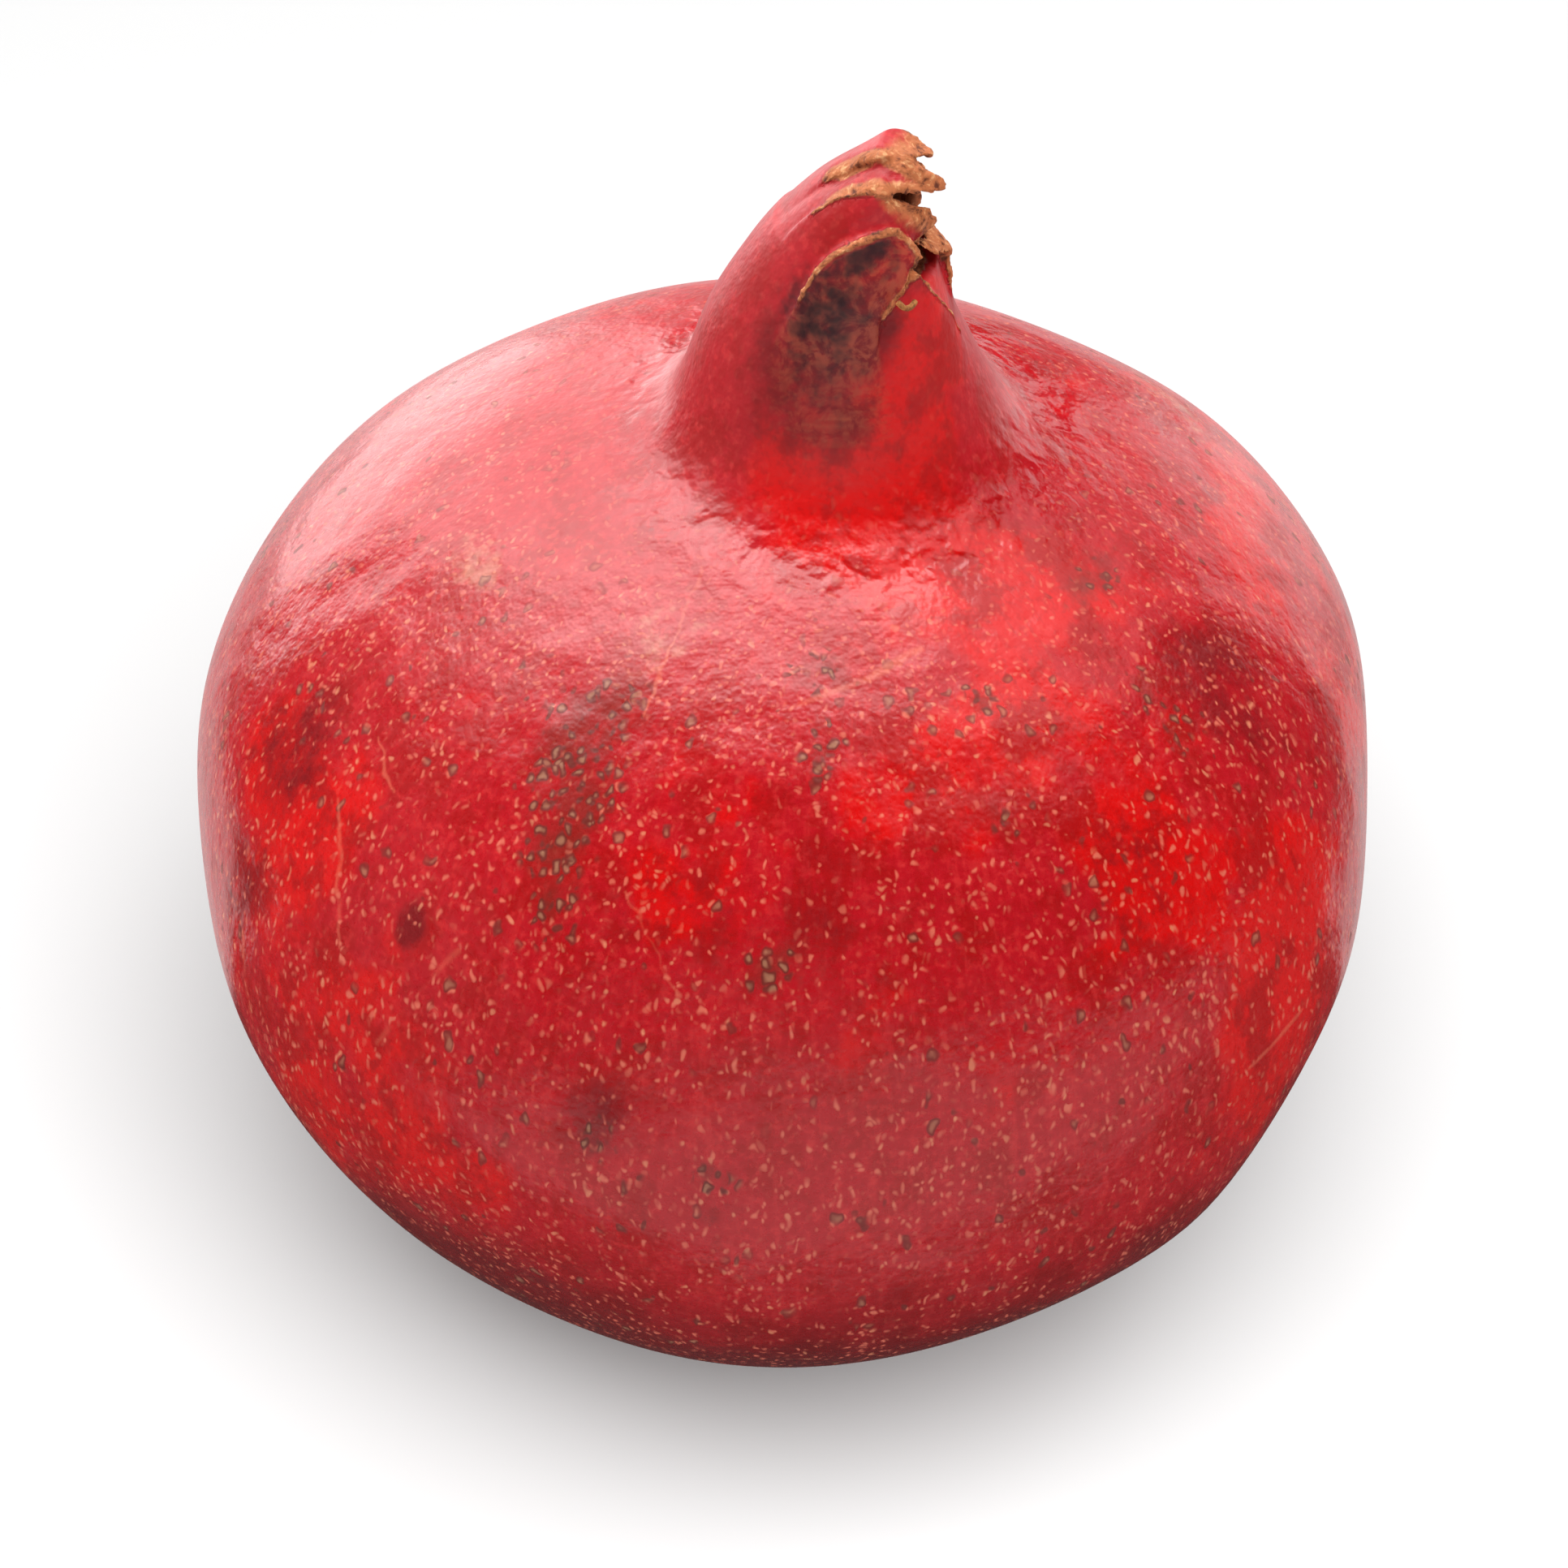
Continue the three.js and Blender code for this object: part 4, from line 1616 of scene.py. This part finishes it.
    def _dried(self, s: Shader, place: Value, colour: Value, dry: Value) -> Value:
        """The dried rims, tips and inner faces of the calyx leaves, and the scorched front flap, with the
        inner faces and the hollow painted darker as painted shade.
        """
        pushed = s.shaken(place, 1.8, 1.5)
        grain = s.noise(pushed, 0.7, 3.0, 0.6)
        brown = s.mix(s.step(grain, 0.28, 0.5), self.dry_dark_and_painted_shade, self.dry)
        brown = s.mix(s.step(grain, 0.54, 0.72), brown, self.dry_pale)
        # Painted shade: the inner faces of the leaves and the inside of the hollow are painted half-way to
        # dark brown; the brown is their dried colour, the extra darkness is painted shade of the recess.
        brown = s.mix(s.attribute("inside") * 0.5, brown, self.dry_dark_and_painted_shade)
        ragged = s.step(dry + (s.noise(place, 1.5, 2.0) - 0.5) * 0.6, 0.3, 0.75)
        flap = s.attribute("flap")
        stripe = s.noise(pushed, 1.0, 3.0, 0.65)
        colour = s.mix(flap * s.step(stripe, 0.35, 0.6) * 0.7, colour, self.leather)
        colour = s.mix(flap * s.step(stripe, 0.54, 0.36) * 0.6, colour, self.maroon)
        burnt = s.attribute(Mark.SCORCH.value) + (s.noise(place, 1.5, 2.0, 0.65) - 0.5) * 1.6
        colour = s.mix(s.step(burnt, 0.2, 1.1) * 0.9, colour, self.scorch)
        return s.mix(ragged, colour, brown)


@dataclass(frozen=True)
class DriedFinish:
    """Dry corky or papery brown, mottled and dull."""

    name: str
    middle: Colour
    pale: Colour
    dark: Colour
    grain: float

    def make(self) -> bpy.types.Material:
        """Makes the material."""
        s = Shader(self.name)
        place = s.place()
        grain = s.noise(place, self.grain, 4.0, 0.65)
        colour = s.mix(s.step(grain, 0.3, 0.5), self.dark, self.middle)
        colour = s.mix(s.step(grain, 0.55, 0.75), colour, self.pale)
        return s.finish(
            Base_Color=colour,
            Roughness=0.62 + grain * 0.25,
            Normal=s.bump(grain, self.grain * 0.4),
            Specular_IOR_Level=0.3,
        )


STEM_FINISH = DriedFinish(
    "stem_cork", middle=paint(150, 104, 66), pale=paint(198, 158, 112), dark=paint(84, 52, 34), grain=0.7
)
STAMEN_FINISH = DriedFinish(
    "stamen_dried", middle=paint(186, 122, 66), pale=paint(226, 176, 112), dark=paint(110, 62, 34), grain=0.9
)


# ---------------------------------------------------------------------------------------------------
# The studio
# ---------------------------------------------------------------------------------------------------


class Lit(Enum):
    """What a light falls on."""

    FRUIT = "fruit"
    FLOOR = "floor"


@dataclass(frozen=True)
class SoftBox:
    """A soft box that faces the fruit.

    Attributes:
        name: What it is called.
        round: Angle round the fruit at which it stands, in degrees.
        up: Angle above the floor at which it stands, in degrees.
        away: Its distance, in metres.
        wide: Its width, in metres.
        high: Its height, in metres.
        glow: How bright its face is, where 1 is as bright as a white floor in full light.
        lit: What it falls on.
        spread: Whether it lights the skin, besides showing in it.
        mirrored: Whether it shows as a reflection.
        shaded: Whether it casts shadows.
    """

    name: str
    round: float
    up: float
    away: float
    wide: float
    high: float
    glow: float
    lit: Lit = Lit.FRUIT
    spread: bool = True
    mirrored: bool = True
    shaded: bool = True


BOXES = (
    SoftBox("back_left_box", 122, 24, 0.8, 0.62, 1.2, 2.6, spread=False),
    SoftBox("left_top_box", 158, 54, 0.8, 0.40, 0.46, 1.7, spread=False),
    SoftBox("bright_box", 140, 62, 0.8, 0.34, 0.44, 2.0),
    SoftBox("top_box", 88, 76, 0.9, 0.60, 0.50, 4.4, spread=False),
    SoftBox("back_right_box", 28, 54, 0.8, 0.66, 0.60, 1.05, spread=False),
    SoftBox("right_low_box", 50, 4, 0.8, 0.46, 0.6, 1.1),
    SoftBox("left_fill", 150, 45, 0.8, 0.7, 0.9, 2.2, mirrored=False),
    SoftBox("left_low_fill", 198, 6, 0.8, 0.5, 0.5, 1.9, mirrored=False),
    SoftBox("right_fill", 4, 66, 0.9, 0.7, 0.6, 4.8, mirrored=False),
    SoftBox("front_fill", 268, 8, 0.9, 0.9, 0.6, 0.92, mirrored=False),
    SoftBox("floor_box", 281, 62, 1.0, 1.05, 1.05, 6.2, lit=Lit.FLOOR),
    SoftBox("floor_fill", 270, 90, 1.0, 1.7, 1.7, 1.3, lit=Lit.FLOOR, shaded=False),
)


@dataclass(frozen=True)
class Sheen:
    """A part of the floor as the fruit mirrors it.

    Attributes:
        name: What it is called.
        left: Its left edge, in metres.
        front: Its front edge, in metres.
        right: Its right edge, in metres.
        back: Its back edge, in metres.
        glow: How bright it is, where 1 is a white floor in full light.
    """

    name: str
    left: float
    front: float
    right: float
    back: float
    glow: float


SHEENS = (
    Sheen("front_sheen", -0.12, -0.62, 0.62, -0.075, 0.45),
    Sheen("back_sheen", -0.13, 0.01, 0.13, 1.2, 0.6),
)


@dataclass
class Studio:
    """A white floor, soft light from above and behind, and the camera."""

    target: Point = (-0.54, 0, 38.6)
    elevation: float = 43.0
    distance: float = 345.0
    lens: float = 100.0
    sensor: float = 36.0
    floor_size: float = 6.0
    floor_shade: float = 0.45
    sheen_height: float = 0.001
    world_glow: float = 0.06
    watts_per_glow: float = 4.0
    boxes: tuple[SoftBox, ...] = BOXES
    sheens: tuple[Sheen, ...] = SHEENS

    def build(self, fruit: Sequence[bpy.types.Object]) -> None:
        """Builds the floor, the lights and the camera.

        Args:
            fruit: The pieces of the fruit.
        """
        scene = bpy.context.scene
        scene.view_settings.view_transform = "Standard"
        self._camera(scene)
        lit = {Lit.FRUIT: list(fruit), Lit.FLOOR: [self._floor()]}
        groups = {}
        for kind, pieces in lit.items():
            groups[kind] = bpy.data.collections.new(f"lit_{kind.value}")
            for piece in pieces:
                groups[kind].objects.link(piece)
        self._world(scene)
        for box in self.boxes:
            self._light(box).light_linking.receiver_collection = groups[box.lit]
        for sheen in self.sheens:
            self._sheen(sheen).light_linking.receiver_collection = groups[Lit.FRUIT]

    def _camera(self, scene: bpy.types.Scene) -> None:
        """Adds the camera."""
        deselect()
        rise = math.radians(self.elevation)
        back = Vector((0, -math.cos(rise), math.sin(rise)))
        bpy.ops.object.camera_add(
            location=(Vector(self.target) + back * self.distance) * MM,
            rotation=(math.pi / 2 - rise, 0, 0),
        )
        camera = added("camera")
        camera.data.lens = self.lens
        camera.data.sensor_width = self.sensor
        camera.data.clip_start = 0.01
        scene.camera = camera

    def _floor(self) -> bpy.types.Object:
        """Adds the floor."""
        deselect()
        bpy.ops.mesh.primitive_plane_add(size=self.floor_size)
        floor = added("floor")
        floor.visible_glossy = False
        white = (self.floor_shade, self.floor_shade, self.floor_shade, 1.0)
        material = Shader("floor_white").finish(Base_Color=white, Roughness=0.9, Specular_IOR_Level=0.1)
        floor.data.materials.append(material)
        return floor

    def _world(self, scene: bpy.types.Scene) -> None:
        """Adds the room's even light."""
        world = bpy.data.worlds.new("room")
        world.use_nodes = True
        background = world.node_tree.nodes["Background"]
        background.inputs["Color"].default_value = (1.0, 1.0, 1.0, 1.0)
        background.inputs["Strength"].default_value = self.world_glow
        scene.world = world

    def _panel(
        self, name: str, place: Sequence[float], wide: float, high: float, glow: float
    ) -> bpy.types.Object:
        """Adds an evenly lit rectangle.

        Args:
            name: What it is called.
            place: Its middle, in metres.
            wide: Its width, in metres.
            high: Its height, in metres.
            glow: How bright its face is.

        Returns:
            The light, which faces down.
        """
        deselect()
        bpy.ops.object.light_add(type="AREA", location=place)
        panel = added(name)
        panel.data.shape = "RECTANGLE"
        panel.data.size, panel.data.size_y = wide, high
        panel.data.energy = self.watts_per_glow * wide * high * glow
        return panel

    def _light(self, box: SoftBox) -> bpy.types.Object:
        """Adds a soft box."""
        turn, up = math.radians(box.round), math.radians(box.up)
        away = Vector((math.cos(turn) * math.cos(up), math.sin(turn) * math.cos(up), math.sin(up)))
        place = Vector(self.target) * MM + away * box.away
        light = self._panel(box.name, place, box.wide, box.high, box.glow)
        light.rotation_euler = (-away).to_track_quat("-Z", "Y").to_euler()
        light.visible_diffuse = box.spread
        light.visible_glossy = box.mirrored
        light.data.use_shadow = box.shaded
        return light

    def _sheen(self, sheen: Sheen) -> bpy.types.Object:
        """Adds a part of the floor as the fruit mirrors it, which faces up."""
        middle = ((sheen.left + sheen.right) / 2, (sheen.front + sheen.back) / 2, self.sheen_height)
        wide, high = sheen.right - sheen.left, sheen.back - sheen.front
        panel = self._panel(sheen.name, middle, wide, high, sheen.glow)
        panel.rotation_euler = (math.pi, 0, 0)
        panel.visible_camera = panel.visible_diffuse = False
        return panel


def main() -> None:
    """Builds the studio and every piece of the fruit."""
    logging.basicConfig(level=logging.INFO, format="%(name)s: %(message)s")
    rind = Rind()
    skin = rind.build()
    finish_piece(skin, SkinFinish().make(rind.form))
    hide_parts(NODE)
    stem = Stem().build()
    finish_piece(stem, STEM_FINISH.make())
    stamens = Stamens(rind.form).build()
    finish_piece(stamens, STAMEN_FINISH.make())
    Studio().build([skin, stem, stamens])


if __name__ == "__main__":
    main()
